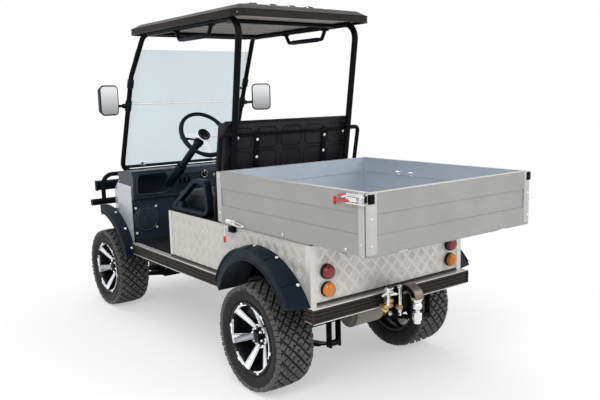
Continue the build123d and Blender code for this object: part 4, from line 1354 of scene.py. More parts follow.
class CART_OT_bed_trim(bpy.types.Operator):
    """Add corner posts, bolts, hooks and latches to the bed and its tailgate"""

    bl_idname = "cart.bed_trim"
    bl_label = "Bed trim"

    def execute(self, context):
        self.posts()
        self.toggles()
        self.tipping_latch()
        self.hooks()
        side = [
            # x, height
            (-0.52, 0.868), (-0.994, 0.868), (-1.459, 0.872), (-1.558, 0.905), (-0.405, 0.905),
            (-0.405, 1.105),
        ]
        spots = [(x, 0.5548, z) for x, z in side]
        bolts("bed_bolts_left", "bed", spots, LEFT, 0.006, zinc())
        bolts("bed_bolts_right", "bed", right_of(spots), (0, -1, 0), 0.006, zinc())
        back = [(-1.6112, y, z) for y in (0.543, -0.543) for z in (0.905, 1.02)]
        bolts("gate_bolts", "tailgate", back, BACK, 0.006, zinc())
        covers = [block((-1.6112, y - 0.037, 0.8637), (-1.6099, y + 0.037, 0.8870), 0.0002)
                  for y in (0.35, -0.35)]
        fit(covers, "hinge_covers", "tailgate", aluminium())
        return {"FINISHED"}

    def posts(self):
        """Pale cover strips on the ends and tops of the boards, with a rounded edge."""
        strips = []
        for x0, x1 in ((-1.580, -1.541), (-0.424, -0.384)):
            for y in (0.5535, -0.5550):
                strips.append(block((x0, y, 0.855), (x1, y + 0.0015, 1.1305), 0.0007))
        tops = [
            # rear end, right edge, left edge
            (-1.5805, 0.5280, 0.5540), (-1.5805, -0.5540, -0.5280), (-0.4095, -0.528, 0.528),
        ]
        strips += [block((x, y0, 1.1310), (-0.384, y1, 1.1325), 0.0006) for x, y0, y1 in tops]
        fit(strips, "board_posts", "bed", pale_aluminium())
        strips = []
        for y0, y1 in ((0.512, 0.553), (-0.553, -0.512)):
            strips.append(block((GATE_X, y0, 0.868), (-1.6100, y1, 1.1305), 0.0007))
        for y in (0.5495, -0.5495):
            strips.append(drum((-1.5985, y, 0.9985), UP, 0.0122, 0.262, 24, 0.001))
        strips.append(block((GATE_X, -0.553, 1.1310), (-1.585, 0.553, 1.1325), 0.0006))
        fit(strips, "gate_posts", "tailgate", pale_aluminium())

    def toggles(self):
        """Over-centre toggle on each side board, with a catch on the tailgate."""
        out = BED_SIDE_Y
        steel = [
            block((-1.572, out, 1.076), (-1.468, out + 0.004, 1.122), 0.0015),
            block((-1.548, out + 0.004, 1.088), (-1.492, out + 0.017, 1.110), 0.004),
        ]
        for z in (1.083, 1.115):
            steel.append(block((-1.560, out + 0.004, z - 0.0025), (-1.480, out + 0.020, z + 0.0025), 0.0015))
            bail = [(-1.545, out + 0.019, z), (-1.585, out + 0.017, z), (-1.597, out + 0.012, z)]
            steel.append(tube(bail, 0.0032, 8))
        tail = [(-1.492, out + 0.012, 1.112), (-1.470, out + 0.014, 1.110), (-1.452, out + 0.012, 1.104)]
        steel.append(tube(tail, 0.0045, 8))
        for x in (-1.562, -1.478):
            steel.append(drum((x, out + 0.007, 1.099), LEFT, 0.0055, 0.007, 6, 0.001))
        steel = fit(steel, "toggle_latches", "bed", chrome(), True)
        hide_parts("bed_latches")
        pins = [drum((x, out + 0.012, 1.0795), UP, 0.005, 0.016, 12, 0.0012)
                for x in (-1.512, -1.530, -1.500)]
        fit(pins, "toggle_pins", "bed", brass_zinc(), True)
        lever = [(-1.500, out + 0.014, 1.092), (-1.470, out + 0.016, 1.088), (-1.404, out + 0.013, 1.085)]
        guard = [(-1.470, out + 0.010, 1.112), (-1.440, out + 0.010, 1.1135), (-1.425, out + 0.010, 1.112)]
        grip = [
            tube(lever, 0.0052, 8),
            block((-1.4085, out + 0.006, 1.067), (-1.3985, out + 0.020, 1.103), 0.0035, 3),
            tube(guard, 0.0035, 8),
        ]
        grip = fit(grip, "toggle_grips", "bed", red_grip(), True)
        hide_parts("latch_grips")
        catch = [
            block((-1.6150, 0.527, 1.086), (-1.6105, 0.5585, 1.127), 0.002),
            block((-1.6145, out, 1.086), (-1.5855, out + 0.006, 1.127), 0.002),
            block((-1.604, out + 0.005, 1.092), (-1.592, out + 0.015, 1.121), 0.003),
        ]
        for z in (1.095, 1.118):
            catch.append(drum((-1.6155, 0.541, z), AHEAD, 0.0048, 0.003, 16, 0.001))
        fit(catch, "gate_catches", "tailgate", black_paint(), True)

    def tipping_latch(self):
        """Latch at the front of the bed that lets it tip."""
        bail = [
            (-0.490, 0.565, 0.868), (-0.560, 0.578, 0.862), (-0.650, 0.575, 0.858), (-0.664, 0.566, 0.866),
            (-0.600, 0.5585, 0.872), (-0.540, 0.5585, 0.872),
        ]
        plate = [
            block((-0.558, BED_SIDE_Y, 0.856), (-0.470, 0.5567, 0.880), 0.001),
            tube(bail, 0.0032, 8),
            drum((-0.484, 0.561, 0.868), LEFT, 0.0075, 0.012, 6, 0.0015),
        ]
        fit(plate, "tip_latch_plate", "bed", chrome())
        base = [
            block((-0.548, 0.5405, 0.812), (-0.500, 0.566, 0.846), 0.004),
            drum((-0.524, 0.568, 0.829), LEFT, 0.0085, 0.008, 6, 0.001),
        ]
        fit(base, "tip_latch_base", "chassis", black_paint())
        line = [(-0.500, 0.562, 0.840), (-0.470, 0.564, 0.842), (-0.464, 0.564, 0.825),
                (-0.461, 0.564, 0.782)]
        place(tube(line, 0.0035, 8), "tip_latch_lever", "chassis", chrome())
        grip = drum((-0.4595, 0.564, 0.765), (0.05, 0, 1), 0.0068, 0.036, 16, 0.003)
        place(grip, "tip_latch_grip", "chassis", red_grip())

    def hooks(self):
        """Two lashing hooks inside the right board."""
        made = []
        for x in (-0.713, -0.817):
            made.append(block((x - 0.014, -0.5285, 1.040), (x + 0.014, -0.5255, 1.072), 0.001))
            hook = [(x - 0.010, -0.5255, 1.062), (x - 0.010, -0.505, 1.064), (x, -0.498, 1.064),
                    (x + 0.010, -0.505, 1.064), (x + 0.010, -0.5255, 1.062)]
            made.append(tube(hook, 0.0028, 8))
        fit(made, "lashing_hooks", "bed", chrome())


class CART_OT_lamps(bpy.types.Operator):
    """Model the domed rear lamps, the headlamps and the light bar's lens"""

    bl_idname = "cart.lamps"
    bl_label = "Lamps"

    def execute(self, context):
        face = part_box("tail_lamps")[1][0]
        lamps = [
            # node, height, finish, slot
            ("tail_lamps", 0.703, red_lens(), "red_lens"),
            ("indicator_lamps", 0.615, amber_lens(), "amber_lens"),
        ]
        bases = []
        for part, z, finish, slot in lamps:
            made = []
            for y in (0.442, -0.442):
                bases.append(drum((face - 0.008, y, z), BACK, 0.0375, 0.016, 40, 0.003))
                made.append(drum((face - 0.022, y, z), BACK, 0.0335, 0.018, 40, 0.003))
                made.append(dome((face - 0.031, y, z), BACK, 0.0325, 0.011, 32))
                for depth in (0.018, 0.024):
                    made.append(ring((face - depth, y, z), BACK, 0.0335, 0.0014, 40, 8))
            piece = fit(made, part + "_lens", "chassis", finish)
            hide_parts(part)
        fit(bases, "lamp_bases", "chassis", black_plastic())
        self.headlamps()
        self.light_bar()
        return {"FINISHED"}

    def headlamps(self):
        """Bright rings and a domed glass on each headlamp."""
        low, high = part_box("headlamps")
        z = (low[2] + high[2]) / 2
        rings = []
        domes = []
        for y in (0.265, -0.265):
            rings.append(ring((high[0], y, z), AHEAD, 0.050, 0.006, 48, 12))
            rings.append(ring((high[0] + 0.001, y, z), AHEAD, 0.028, 0.003, 40, 10))
            domes.append(dome((high[0] - 0.002, y, z), AHEAD, 0.046, 0.016, 32))
        fit(rings, "headlamp_rings", "chassis", chrome())
        fit(domes, "headlamp_domes", "chassis", clear_lens())

    def light_bar(self):
        """Two rows of cells in the light bar, with its end caps and edges."""
        low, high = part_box("light_bar")
        z = (low[2] + high[2]) / 2
        cells = []
        for column in range(20):
            y = (column - 9.5) * 0.0465
            for up in (-0.0145, 0.0145):
                cells.append(dome((high[0] - 0.0005, y, z + up), AHEAD, 0.0115, 0.005, 16))
        fit(cells, "light_bar_cells", "chassis", clear_lens())
        ends = []
        for y in (high[1] + 0.003, low[1] - 0.003):
            near = (low[0] + 0.016, y - 0.006, low[2] - 0.006)
            ends.append(block(near, (high[0] + 0.004, y + 0.006, high[2] + 0.006), 0.004))
        for edge in (low[2], high[2]):
            near = (high[0] - 0.004, low[1], edge - 0.003)
            ends.append(block(near, (high[0] + 0.003, high[1], edge + 0.003), 0.002))
        fit(ends, "light_bar_ends", "chassis", black_plastic())


class CART_OT_hitch(bpy.types.Operator):
    """Add the strap, latch and lever of the tow hitch"""

    bl_idname = "cart.hitch"
    bl_label = "Tow hitch"

    def execute(self, context):
        side = frame_of((-1.310, 0, 0.515), AHEAD, UP)
        arc = [(math.cos(math.radians(t)), math.sin(math.radians(t))) for t in range(15, 181, 15)]
        straps = [
            ribbon([(0.0665 * c, 0.0665 * s) for c, s in arc], 0.0275, 0.005, side),
            ribbon([(0.0345 * c, 0.0345 * s) for c, s in arc], 0.0270, 0.003, side),
        ]
        fit(straps, "neck_strap", "chassis", bronze())
        ball_x = -1.360
        shank = [
            block((-1.3755, -0.0272, 0.5065), (-1.3445, 0.0272, 0.5260), 0.004),
            drum((ball_x, 0, 0.5035), UP, 0.0235, 0.007, 6, 0.0012),
            drum((ball_x, 0, 0.4270), UP, 0.0240, 0.034, 32, 0.003),
            ring((ball_x, 0, 0.4445), UP, 0.0215, 0.0030, 40, 8),
            ring((ball_x, 0, 0.4095), UP, 0.0215, 0.0030, 40, 8),
            drum((ball_x, 0, 0.3955), UP, 0.0180, 0.016, 6, 0.002),
        ]
        fit(shank, "ball_shank", "chassis", chrome())
        handle = [(-1.262, 0.070, 0.560), (-1.276, 0.100, 0.566), (-1.280, 0.128, 0.556),
                  (-1.262, 0.148, 0.536)]
        lever = [
            block((-1.298, 0.046, 0.440), (-1.286, 0.062, 0.566), 0.004),
            drum((-1.294, 0.054, 0.572), AHEAD, 0.012, 0.018, 20, 0.002),
            block((-1.300, 0.050, 0.424), (-1.284, 0.058, 0.448), 0.003),
            tube(handle, 0.0065, 10),
            block((-1.284, 0.112, 0.484), (-1.254, 0.132, 0.548), 0.004),
            drum((-1.274, 0.112, 0.560), (0, 1, 0.5), 0.011, 0.050, 20, 0.002),
            drum((-1.268, 0.084, 0.535), (0.4, 1, 0), 0.008, 0.060, 16, 0.002),
        ]
        fit(lever, "hitch_lever", "chassis", chrome())
        hook = [(-1.240, 0.142, 0.482), (-1.262, 0.154, 0.470), (-1.272, 0.132, 0.454)]
        catch = [
            drum((-1.286, 0.054, 0.468), AHEAD, 0.014, 0.030, 6, 0.002),
            block((-1.274, 0.080, 0.468), (-1.234, 0.142, 0.490), 0.004),
            drum((-1.264, 0.096, 0.502), LEFT, 0.0125, 0.034, 20, 0.002),
            tube(hook, 0.0055, 8),
            drum((-1.268, 0.126, 0.462), AHEAD, 0.010, 0.020, 6, 0.002),
        ]
        fit(catch, "hitch_catch", "chassis", brass_zinc())
        heads = [(-1.2355, y, z) for y in (-0.066, 0.066) for z in (0.425, 0.522)]
        bolts("hitch_bolts", "chassis", heads, BACK, 0.009, zinc())
        return {"FINISHED"}


class CART_OT_flares(bpy.types.Operator):
    """Roll the lips of the wheel flares and add their ribs and screws"""

    bl_idname = "cart.flares"
    bl_label = "Wheel flares"
    lower_radius = 0.416

    def execute(self, context):
        pieces = [
            tube([self.rear(27 + 118 * step / 15, 1.0) for step in range(16)], 0.0065, 12),
            tube([self.rear(24.5 + 117 * step / 15, 0.0) for step in range(16)], 0.0055, 12),
        ]
        for turn in (62, 84, 108, 132):
            outer_y = self.rear(turn, 1.0)[1] - 0.002
            rib = [self.rear_top(turn, 0.5425), self.rear_top(turn, outer_y)]
            pieces.append(tube(rib, 0.004, 8, False, False))
        for r, thick in ((0.474, 0.0055), (0.4325, 0.0045)):
            pieces.append(tube([self.front(turn, r) for turn in range(58, 161, 6)], thick, 12))
        fit(pieces, "flare_lips", "chassis", black_plastic(), True)
        screws = []
        ways = []
        for turn in (86, 110, 134):
            screws.append(self.rear_top(turn, 0.553))
            ways.append((math.cos(math.radians(turn)), 0.2, math.sin(math.radians(turn))))
        for turn in (112, 134, 153):
            a = math.radians(turn)
            r = 0.4745
            screws.append((FRONT_AXLE_X + r * math.cos(a), 0.548, AXLE_Z + r * math.sin(a)))
            ways.append((math.cos(a), 0.1, math.sin(a)))
        bolts("flare_screws_left", "chassis", screws, ways, 0.006, bright_bolt())
        bolts("flare_screws_right", "chassis", right_of(screws), right_of(ways), 0.006, bright_bolt())
        return {"FINISHED"}

    def upper_radius(self, y):
        """Radius of a rear flare's top, which falls outwards."""
        return 0.484 - 0.026 * (y - 0.5406) / 0.1264

    def rear_top(self, turn, y):
        """Point on the sloping top of a rear flare at an angle and a width."""
        a = math.radians(turn)
        r = self.upper_radius(y)
        return (REAR_ARCH_X + r * math.cos(a), y, REAR_ARCH_Z + r * math.sin(a))

    def rear(self, turn, share):
        """Point on the outer face of a rear flare, from its lower edge to its upper one."""
        a = math.radians(turn)
        r = self.lower_radius
        for _ in range(4):
            x = REAR_ARCH_X + r * math.cos(a)
            y = 0.567 + 0.092 * min(max((-0.348 - x) / 0.844, 0), 1)
            r = self.lower_radius + share * (self.upper_radius(y) - self.lower_radius)
        return (x, y, REAR_ARCH_Z + r * math.sin(a))

    def front(self, turn, r):
        """Point on the outer face of a front flare."""
        a = math.radians(turn)
        x = FRONT_AXLE_X + r * math.cos(a)
        return (x, 0.599 - 0.142 * max(x - 1.240, 0) / 0.34, AXLE_Z + r * math.sin(a))


class CART_OT_sills(bpy.types.Operator):
    """Add the serrated strips, bright edges and the seal below the bed"""

    bl_idname = "cart.sills"
    bl_label = "Sill strips"

    def execute(self, context):
        teeth = block((-0.357, 0.5375, 0.5412), (-0.350, 0.5455, 0.5505))
        bevel(teeth, 0.001, 1)
        row(teeth, 41, (0.0148, 0, 0))
        base = block((-0.362, 0.5373, 0.5411), (0.250, 0.5405, 0.5600), 0.0008)
        rear = block((-1.1915, -0.5030, 0.5412), (-1.1835, -0.4965, 0.5500))
        bevel(rear, 0.001, 1)
        row(rear, 68, (0, 0.0149, 0))
        rear_base = block((-1.1866, -0.5060, 0.5411), (-1.1834, 0.5060, 0.5560), 0.0008)
        corner = drum((-1.2225, 0.5555, 0.5035), UP, 0.0068, 0.0660, 20, 0.001)
        dark = [mirrored(join([base, corner])), rear_base]
        fit(dark, "serrated_base", "chassis", strip_rubber())
        fit([mirrored(teeth), rear], "serrated_teeth", "chassis", iron())
        edges = []
        for low, high in ((0.5375, 0.5425), (0.4655, 0.4700)):
            edges.append(mirrored(block((-0.360, 0.5515, low), (0.795, 0.5575, high), 0.001)))
            edges.append(block((-1.2250, -0.5575, low), (-1.2190, 0.5575, high), 0.001))
        fit(edges, "channel_edges", "chassis", bright_aluminium())
        seal = block((-1.1835, 0.5336, 0.8395), (-0.392, 0.5402, 0.8525), 0.0015)
        place(mirrored(seal), "bed_seals", "chassis", aluminium())
        return {"FINISHED"}


class CART_OT_cab(bpy.types.Operator):
    """Fit out the dashboard, kick panels, pedals and floor"""

    bl_idname = "cart.cab"
    bl_label = "Cab"

    def execute(self, context):
        self.speakers()
        heights = ((0.341, 0.623), (0.496, 0.597), (0.341, 0.775), (0.496, 0.775))
        spots = [(0.8500, y, z) for y, z in heights]
        bolts("kick_screws", "chassis", spots + right_of(spots), BACK, 0.006, bright_bolt())
        self.cubbies()
        self.controls()
        self.pedals()
        mat = block((0.255, -0.500, 0.5412), (0.838, 0.500, 0.5440), 0.001)
        rib = block((0.262, -0.495, 0.5438), (0.831, -0.487, 0.5468), 0.0012)
        fit([mat, row(rib, 50, (0, 0.02, 0))], "floor_mat", "chassis", mat_rubber())
        return {"FINISHED"}

    def speakers(self):
        """Domed speaker with round ribs on each kick panel."""
        z = 0.697
        dome_r, dome_x, dome_height = 0.080, 0.8455, 0.010
        made = []
        for y in (0.417, -0.417):
            made.append(ring((0.848, y, z), BACK, 0.088, 0.008, 48, 12))
            made.append(drum((0.8475, y, z), BACK, 0.086, 0.006, 48, 0.001))
            made.append(dome((dome_x, y, z), BACK, dome_r, dome_height, 40))
            for radius in (0.022, 0.036, 0.050, 0.064):
                x = dome_x - dome_height * math.sqrt(1 - (radius / dome_r) ** 2)
                made.append(ring((x, y, z), BACK, radius, 0.0024, 48, 8))
        fit(made, "speakers", "chassis", cab_black_painted_sky_light())

    def cubbies(self):
        """Rounded frames round the two open cubbies, on the sloping face."""
        z = 0.941
        made = []
        for y in (0.369, -0.369):
            for grow, thick in ((0.004, 0.0085), (0.021, 0.0045)):
                corner = 0.030 + grow
                half, tall = 0.089 + corner, 0.039 + corner
                line = rounded((y - half, z - tall), (y + half, z + tall), corner, 4)
                made.append(tube([(self.dash(b) + 0.001, a, b) for a, b in line], thick, 12, True))
        edge_z = 0.846
        edge = [(self.dash(edge_z), y, edge_z) for y in (-0.505, 0.505)]
        made.append(tube(edge, 0.004, 8, False, False))
        fit(made, "cubby_frames", "chassis", cab_black_painted_sky_light())

    def dash(self, z):
        """Rear face of the dashboard at a height."""
        return 0.830 - 0.1282 * (z - 0.840) if z < 0.996 else 0.810 + 0.75 * (z - 0.996)

    def controls(self):
        """Gauge, key switch, knobs and rocker switches."""
        face = frame_of((0.8156, 0, 0.952), (0, -1, 0), (-0.1272, 0, 0.9919))
        gauge_u, gauge_v = 0.045, 0.026
        bezel = [
            ring((gauge_u, gauge_v, 0.002), UP, 0.030, 0.004, 40, 10),
            drum((gauge_u, gauge_v, 0.0), UP, 0.029, 0.004, 40, 0.001),
        ]
        for across in (-0.150, -0.115, -0.080):
            bezel.append(block((across - 0.012, -0.030, -0.002), (across + 0.012, 0.014, 0.005), 0.002))
            bezel.append(block((across - 0.009, -0.010, 0.003), (across + 0.009, 0.011, 0.009), 0.002))
        place(lay(join(bezel), face), "dash_controls", "chassis", gloss_black())
        knobs = [
            drum((0.125, 0.010, 0.006), UP, 0.013, 0.016, 32, 0.002),
            block((0.123, -0.004, 0.013), (0.127, 0.024, 0.030), 0.001),
            drum((0.165, 0.010, 0.008), UP, 0.011, 0.020, 24, 0.002),
            ring((gauge_u, gauge_v, 0.005), UP, 0.0265, 0.0014, 40, 8),
        ]
        place(lay(join(knobs), face), "dash_knobs", "chassis", chrome())
        dial = [block((0.0445, gauge_v, 0.0025), (0.0455, 0.046, 0.0035), 0.0002)]
        for tick in range(9):
            angle = math.radians(-30 + 30 * tick)
            spot = (gauge_u + 0.022 * math.cos(angle), gauge_v + 0.022 * math.sin(angle), 0.0026)
            dial.append(drum(spot, UP, 0.0012, 0.001, 8, 0.0002))
        place(lay(join(dial), face), "dial_marks", "chassis", bright_bolt())

    def pedals(self):
        """Ribbed rubber pads on the two pedals."""
        made = []
        for y, wide, tall in ((0.040, 0.090, 0.060), (0.140, 0.060, 0.120)):
            half = wide / 2
            pad_half = half + 0.002
            made.append(block((0.9425, y - pad_half, 0.608), (0.9485, y + pad_half, 0.612 + tall), 0.002))
            rib = block((0.9395, y - half + 0.006, 0.616), (0.9435, y + half - 0.006, 0.621), 0.0012)
            made.append(row(rib, int(tall / 0.012), (0, 0, 0.0115)))
        fit(made, "pedal_pads", "chassis", strip_rubber())


class CART_OT_steering(bpy.types.Operator):
    """Model the steering wheel's rim, grips, spokes and hub, the column's cover and the stalk"""

    bl_idname = "cart.steering"
    bl_label = "Steering wheel"
    hub = Vector((0.287, 0.240, 1.299))
    axis = Vector((-0.819152, 0, 0.573576))
    rim_radius = 0.1585
    stalk_start = hub - axis * 0.075
    stalk_reach = Vector((-0.020, 0.150, 0.030))

    def execute(self, context):
        face = frame_of(self.hub, (0, -1, 0), (0.573576, 0, 0.819152))
        rim = lay(join(self.rim()), face)
        place(rim, "wheel_grip", "steering_wheel", black_plastic())
        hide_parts("steering_wheel")
        place(lay(join(self.spokes()), face), "wheel_spokes", "steering_wheel", machined())
        middle = [
            drum((0, 0, -0.009), UP, 0.048, 0.020, 48, 0.005, 3),
            dome((0, 0, 0.0005), UP, 0.040, 0.010, 32),
            drum((0, 0, -0.031), UP, 0.026, 0.030, 32, 0.002),
        ]
        place(lay(join(middle), face), "wheel_hub", "steering_wheel", gloss_black())
        column = fit(self.column(), "column_cover", "chassis", black_plastic())
        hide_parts("steering_column")
        fit(self.stalk(), "stalk_end", "chassis", gloss_black())
        return {"FINISHED"}

    def rim(self):
        """Rim with thicker grips at both sides and below."""
        made = [ring((0, 0, 0), UP, self.rim_radius, 0.0125, 72, 20)]
        for start, end in ((-35, 35), (145, 215), (250, 290)):
            points = []
            for step in range(9):
                angle = math.radians(start + (end - start) * step / 8)
                points.append((self.rim_radius * math.cos(angle), self.rim_radius * math.sin(angle), 0))
            made.append(tube(points, 0.0150, 20))
        return made

    def spokes(self):
        """Three tapered spokes that rise to the rim, and a ring round the hub."""
        made = []
        inner, outer = 0.030, 0.150
        for angle in (0, 180, 270):
            arm = block((inner, -0.017, -0.013), (outer, 0.017, -0.006))
            for vertex in arm.data.vertices:
                share = (vertex.co.x - inner) / (outer - inner)
                vertex.co.y *= 1.15 - 0.4 * share
                vertex.co.z += 0.006 * share
            bevel(arm, 0.002)
            made.append(lay(arm, Matrix.Rotation(math.radians(angle), 4, "Z")))
        made.append(ring((0, 0, -0.002), UP, 0.046, 0.004, 48, 12))
        return made

    def column(self):
        """Switch pod, slim tube and two-step boot down to the dash, with the stalk's rod."""
        end = (self.hub.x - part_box("steering_column")[1][0]) / self.axis.x
        sections = [
            # start and end below the hub, radius
            (0.0465, 0.112, 0.0320),
            (0.104, end - 0.012, 0.0240),
            (0.58 * end, 0.70 * end, 0.0345),
            (0.69 * end, 0.80 * end, 0.0300),
        ]
        made = []
        for start, stop, radius in sections:
            centre = self.hub - self.axis * (start + stop) / 2
            made.append(drum(centre, self.axis, radius, stop - start, 40, 0.004, 3))
        rod = [self.stalk_start + self.stalk_reach * share for share in (0, 0.5, 1)]
        made.append(tube(rod, 0.006))
        return made

    def stalk(self):
        """Thicker end of the stalk, with a ring and a round tip."""
        far = self.stalk_start + self.stalk_reach
        way = self.stalk_reach.normalized()
        return [
            tube([far - way * 0.06, far - way * 0.03, far - way * 0.002], 0.0095, 16),
            dome(far - way * 0.004, way, 0.0095, 0.007, 16),
            ring(far - way * 0.058, way, 0.0085, 0.0025, 24, 8),
        ]


class CART_OT_windshield(bpy.types.Operator):
    """Add the seam strips, lower seal, clips and latches of the windshield, and the hoop's clamps"""

    bl_idname = "cart.windshield"
    bl_label = "Windshield trim"
    hoop_y = 0.470
    hoop_lean = 0.38348
    pane_half = 0.466
    arm_z = 1.490

    def execute(self, context):
        half = self.pane_half
        strips = []
        for z in (1.4975, 1.5085):
            x = self.pane(z)
            strips.append(block((x - 0.002, -half, z - 0.0022), (x + 0.0075, half, z + 0.0022), 0.0012))
        fit(strips, "pane_seams", "chassis", bright_bolt())
        x = self.pane(1.045)
        seal = [block((x - 0.005, -half, 1.034), (x + 0.009, half, 1.056), 0.003)]
        for y in (0.455, -0.455):
            for z in (1.12, 1.40, 1.60):
                seal.append(drum((self.pane(z) + 0.006, y, z), (1, 0, 0.38), 0.010, 0.008, 24, 0.002))
        fit(seal, "pane_clips", "chassis", black_plastic())
        x = self.pane(1.06)
        latches = []
        for y in (0.302, -0.302):
            latches.append(block((x - 0.010, y - 0.022, 1.044), (x + 0.012, y + 0.022, 1.070), 0.004))
            latches.append(drum((x - 0.010, y, 1.072), LEFT, 0.007, 0.040, 20, 0.002))
        fit(latches, "pane_latches", "chassis", chrome())
        self.clamps()
        return {"FINISHED"}

    def clamps(self):
        """Sleeves round the hoop below its bend and at the mirror arms."""
        along = (-self.hoop_lean, 0, 1)
        made = []
        for z, long in ((self.arm_z, 0.075), (1.640, 0.060)):
            made.append(drum((self.hoop(z), self.hoop_y, z), along, 0.0225, long, 32, 0.004, 3))
        made.append(drum((self.hoop(self.arm_z), 0.498, self.arm_z), LEFT, 0.0165, 0.030, 24, 0.003))
        fit(made, "hoop_clamps", "chassis", black_plastic(), True)

    def hoop(self, z):
        """Middle of the hoop's lower tubes at a height."""
        return 1.110 - self.hoop_lean * (z - 1.012)

    def pane(self, z):
        """Rear face of the lower panes at a height."""
        return self.hoop(z) + 0.01853


class CART_OT_roof_trim(bpy.types.Operator):
    """Add the roof's lining, edge beads and screws, and the mounts and sleeves of its handles"""

    bl_idname = "cart.roof_trim"
    bl_label = "Roof trim"
    lining_in = 0.018

    def execute(self, context):
        low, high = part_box("roof")
        near = (low[0] + self.lining_in, low[1] + self.lining_in, 1.9752)
        lining = block(near, (high[0] - self.lining_in, high[1] - self.lining_in, 1.9814))
        bevel(lining, 0.045, 5, 80)
        rib = block((low[0] + 0.10, -0.40, 1.9725), (low[0] + 0.13, 0.40, 1.9756), 0.0012)
        fit([lining, row(rib, 9, (0.14, 0, 0))], "roof_lining", "chassis", grey_lining())
        plan = rounded(low, high, 0.070, 6)
        beads = [tube([(x, y, z) for x, y in plan], thick, 8, True, False)
                 for z, thick in ((1.9615, 0.0032), (1.9965, 0.0028))]
        fit(beads, "roof_beads", "chassis", roof_black())
        # Bright screw heads at the rear ends of the roof ribs; their brightness paints the highlights that
        # the ribs catch there.
        spots = [(low[0] + 0.100, y, 2.0346) for y in (0.205, 0.068, -0.068, -0.205)]
        bolts("roof_screw_heads_painted_highlights", "chassis", spots, (-0.171, 0, 0.985), 0.006, bright_bolt())
        mounts = [block((x - 0.020, 0.403, 1.9385), (x + 0.020, 0.437, 1.9470), 0.003)
                  for x in (-0.168, 0.258)]
        fit(mounts, "handle_mounts", "chassis", black_paint(), True)
        sleeve = drum((0.045, 0.420, 1.8897), AHEAD, 0.0148, 0.280, 24, 0.004)
        place(mirrored(sleeve), "handle_sleeves", "chassis", black_plastic())
        return {"FINISHED"}


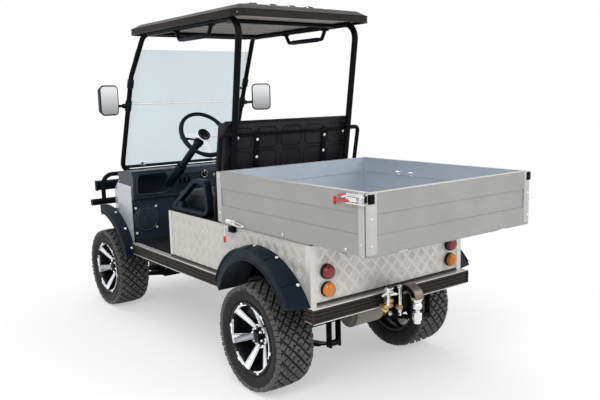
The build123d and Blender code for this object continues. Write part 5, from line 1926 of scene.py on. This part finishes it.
class CART_OT_stage(bpy.types.Operator):
    """Build the pale floor, soft studio light and the camera"""

    bl_idname = "cart.stage"
    bl_label = "Stage"
    camera_place = (-3.6782, 2.4864, 1.5452)
    camera_angles = (-37.265, -8.731, -1.390)
    camera_lens = 41.515

    def execute(self, context):
        self.floor()
        self.lights(context)
        self.camera(context)
        return {"FINISHED"}

    def floor(self):
        """Floor that fades from grey under the cart to the white of the background."""
        clear_selection()
        bpy.ops.mesh.primitive_plane_add(size=60, location=(0, 0, 0))
        obj = bpy.context.object
        obj.name = "studio_floor"
        material, tree, shader = blank("pale_floor")
        shader.inputs["Base Color"].default_value = (0.80, 0.80, 0.80, 1)
        shader.inputs["Roughness"].default_value = 0.9
        shader.inputs["Specular IOR Level"].default_value = 0.0
        place_on = node(tree, "ShaderNodeTexCoord").outputs["Object"]
        away = node(tree, "ShaderNodeVectorMath", [(0, place_on)], operation="LENGTH")
        fade = node(
            tree, "ShaderNodeMapRange",
            [("Value", away.outputs["Value"]), ("From Min", 1.2), ("From Max", 2.6), ("To Min", 0.46),
             ("To Max", 1.0)],
            interpolation_type="SMOOTHSTEP",
        )
        share = reckon(tree, "MULTIPLY", self.seen(tree), fade.outputs[0])
        white = node(tree, "ShaderNodeEmission", [("Strength", 1.0)])
        both = node(tree, "ShaderNodeMixShader", [(0, share), (1, shader.outputs[0]), (2, white.outputs[0])])
        tree.links.new(both.outputs[0], tree.nodes["Material Output"].inputs["Surface"])
        obj.data.materials.append(material)

    def seen(self, tree):
        """One for rays that show the background: straight, mirrored or through a pane."""
        rays = node(tree, "ShaderNodeLightPath").outputs
        value = rays["Is Camera Ray"]
        for kind in ("Is Glossy Ray", "Is Transmission Ray"):
            value = reckon(tree, "MAXIMUM", value, rays[kind])
        return value

    def lights(self, context):
        """White surroundings and three soft lamps."""
        world = bpy.data.worlds.new("studio")
        context.scene.world = world
        world.use_nodes = True
        tree = world.node_tree
        back = tree.nodes["Background"]
        back.inputs["Color"].default_value = (1, 1, 1, 1)
        strength = node(
            tree, "ShaderNodeMapRange", [("Value", self.seen(tree)), ("To Min", 0.55), ("To Max", 1.0)]
        )
        tree.links.new(strength.outputs[0], back.inputs["Strength"])
        lamps = [
            # name, place, aim, width, power
            ("key", (-5.0, 5.0, 6.5), (0, 0, 0.8), 4.0, 420),
            ("fill", (-6.5, -3.5, 4.5), (0, 0, 0.8), 4.0, 190),
            ("top", (1.0, 0.5, 7.5), (0, 0, 1.0), 5.0, 260),
        ]
        for name, spot, aim, width, power in lamps:
            light = bpy.data.lights.new(name, "AREA")
            light.size = width
            light.energy = power
            obj = bpy.data.objects.new(name, light)
            obj.location = spot
            obj.rotation_euler = (Vector(aim) - Vector(spot)).to_track_quat("-Z", "Y").to_euler()
            context.collection.objects.link(obj)

    def camera(self, context):
        """Camera at the place, aim and roll that the view of the cart was fitted to."""
        data = bpy.data.cameras.new("photo_view")
        data.lens = self.camera_lens
        data.sensor_width = 36.0
        obj = bpy.data.objects.new("photo_view", data)
        context.collection.objects.link(obj)
        yaw, pitch, roll = (math.radians(a) for a in self.camera_angles)
        ahead = Vector((math.cos(pitch) * math.cos(yaw), math.cos(pitch) * math.sin(yaw), math.sin(pitch)))
        level = ahead.cross(Vector(UP)).normalized()
        upright = level.cross(ahead)
        right = level * math.cos(roll) + upright * math.sin(roll)
        up = upright * math.cos(roll) - level * math.sin(roll)
        turn = Matrix((right, up, -ahead)).transposed().to_4x4()
        obj.matrix_world = Matrix.Translation(self.camera_place) @ turn
        context.scene.camera = obj
        context.scene.view_settings.view_transform = "Standard"


class CART_PT_sidebar(bpy.types.Panel):
    """Buttons and sizes of the cart"""

    bl_idname = "CART_PT_sidebar"
    bl_label = "Utility golf cart"
    bl_space_type = "VIEW_3D"
    bl_region_type = "UI"
    bl_category = "Cart"

    def draw(self, context):
        for group in (context.scene.cart_sizes, context.scene.cart_colours):
            for name in group.bl_rna.properties.keys():
                if name not in ("rna_type", "name"):
                    self.layout.prop(group, name)
        for operator in OPERATORS:
            self.layout.operator(operator.bl_idname)


OPERATORS = (
    CART_OT_finishes,
    CART_OT_tyres,
    CART_OT_wheels,
    CART_OT_tread_bars,
    CART_OT_seats,
    CART_OT_bed_trim,
    CART_OT_lamps,
    CART_OT_hitch,
    CART_OT_flares,
    CART_OT_sills,
    CART_OT_cab,
    CART_OT_steering,
    CART_OT_windshield,
    CART_OT_roof_trim,
    CART_OT_stage,
)
CLASSES = (CartSizes, CartColours, *OPERATORS, CART_PT_sidebar)


def register():
    for cls in CLASSES:
        bpy.utils.register_class(cls)
    bpy.types.Scene.cart_sizes = bpy.props.PointerProperty(type=CartSizes)
    bpy.types.Scene.cart_colours = bpy.props.PointerProperty(type=CartColours)


def unregister():
    del bpy.types.Scene.cart_sizes
    del bpy.types.Scene.cart_colours
    for cls in reversed(CLASSES):
        bpy.utils.unregister_class(cls)


def main():
    register()
    for operator in OPERATORS:
        family, name = operator.bl_idname.split(".")
        getattr(getattr(bpy.ops, family), name)()


if __name__ == "__main__":
    main()
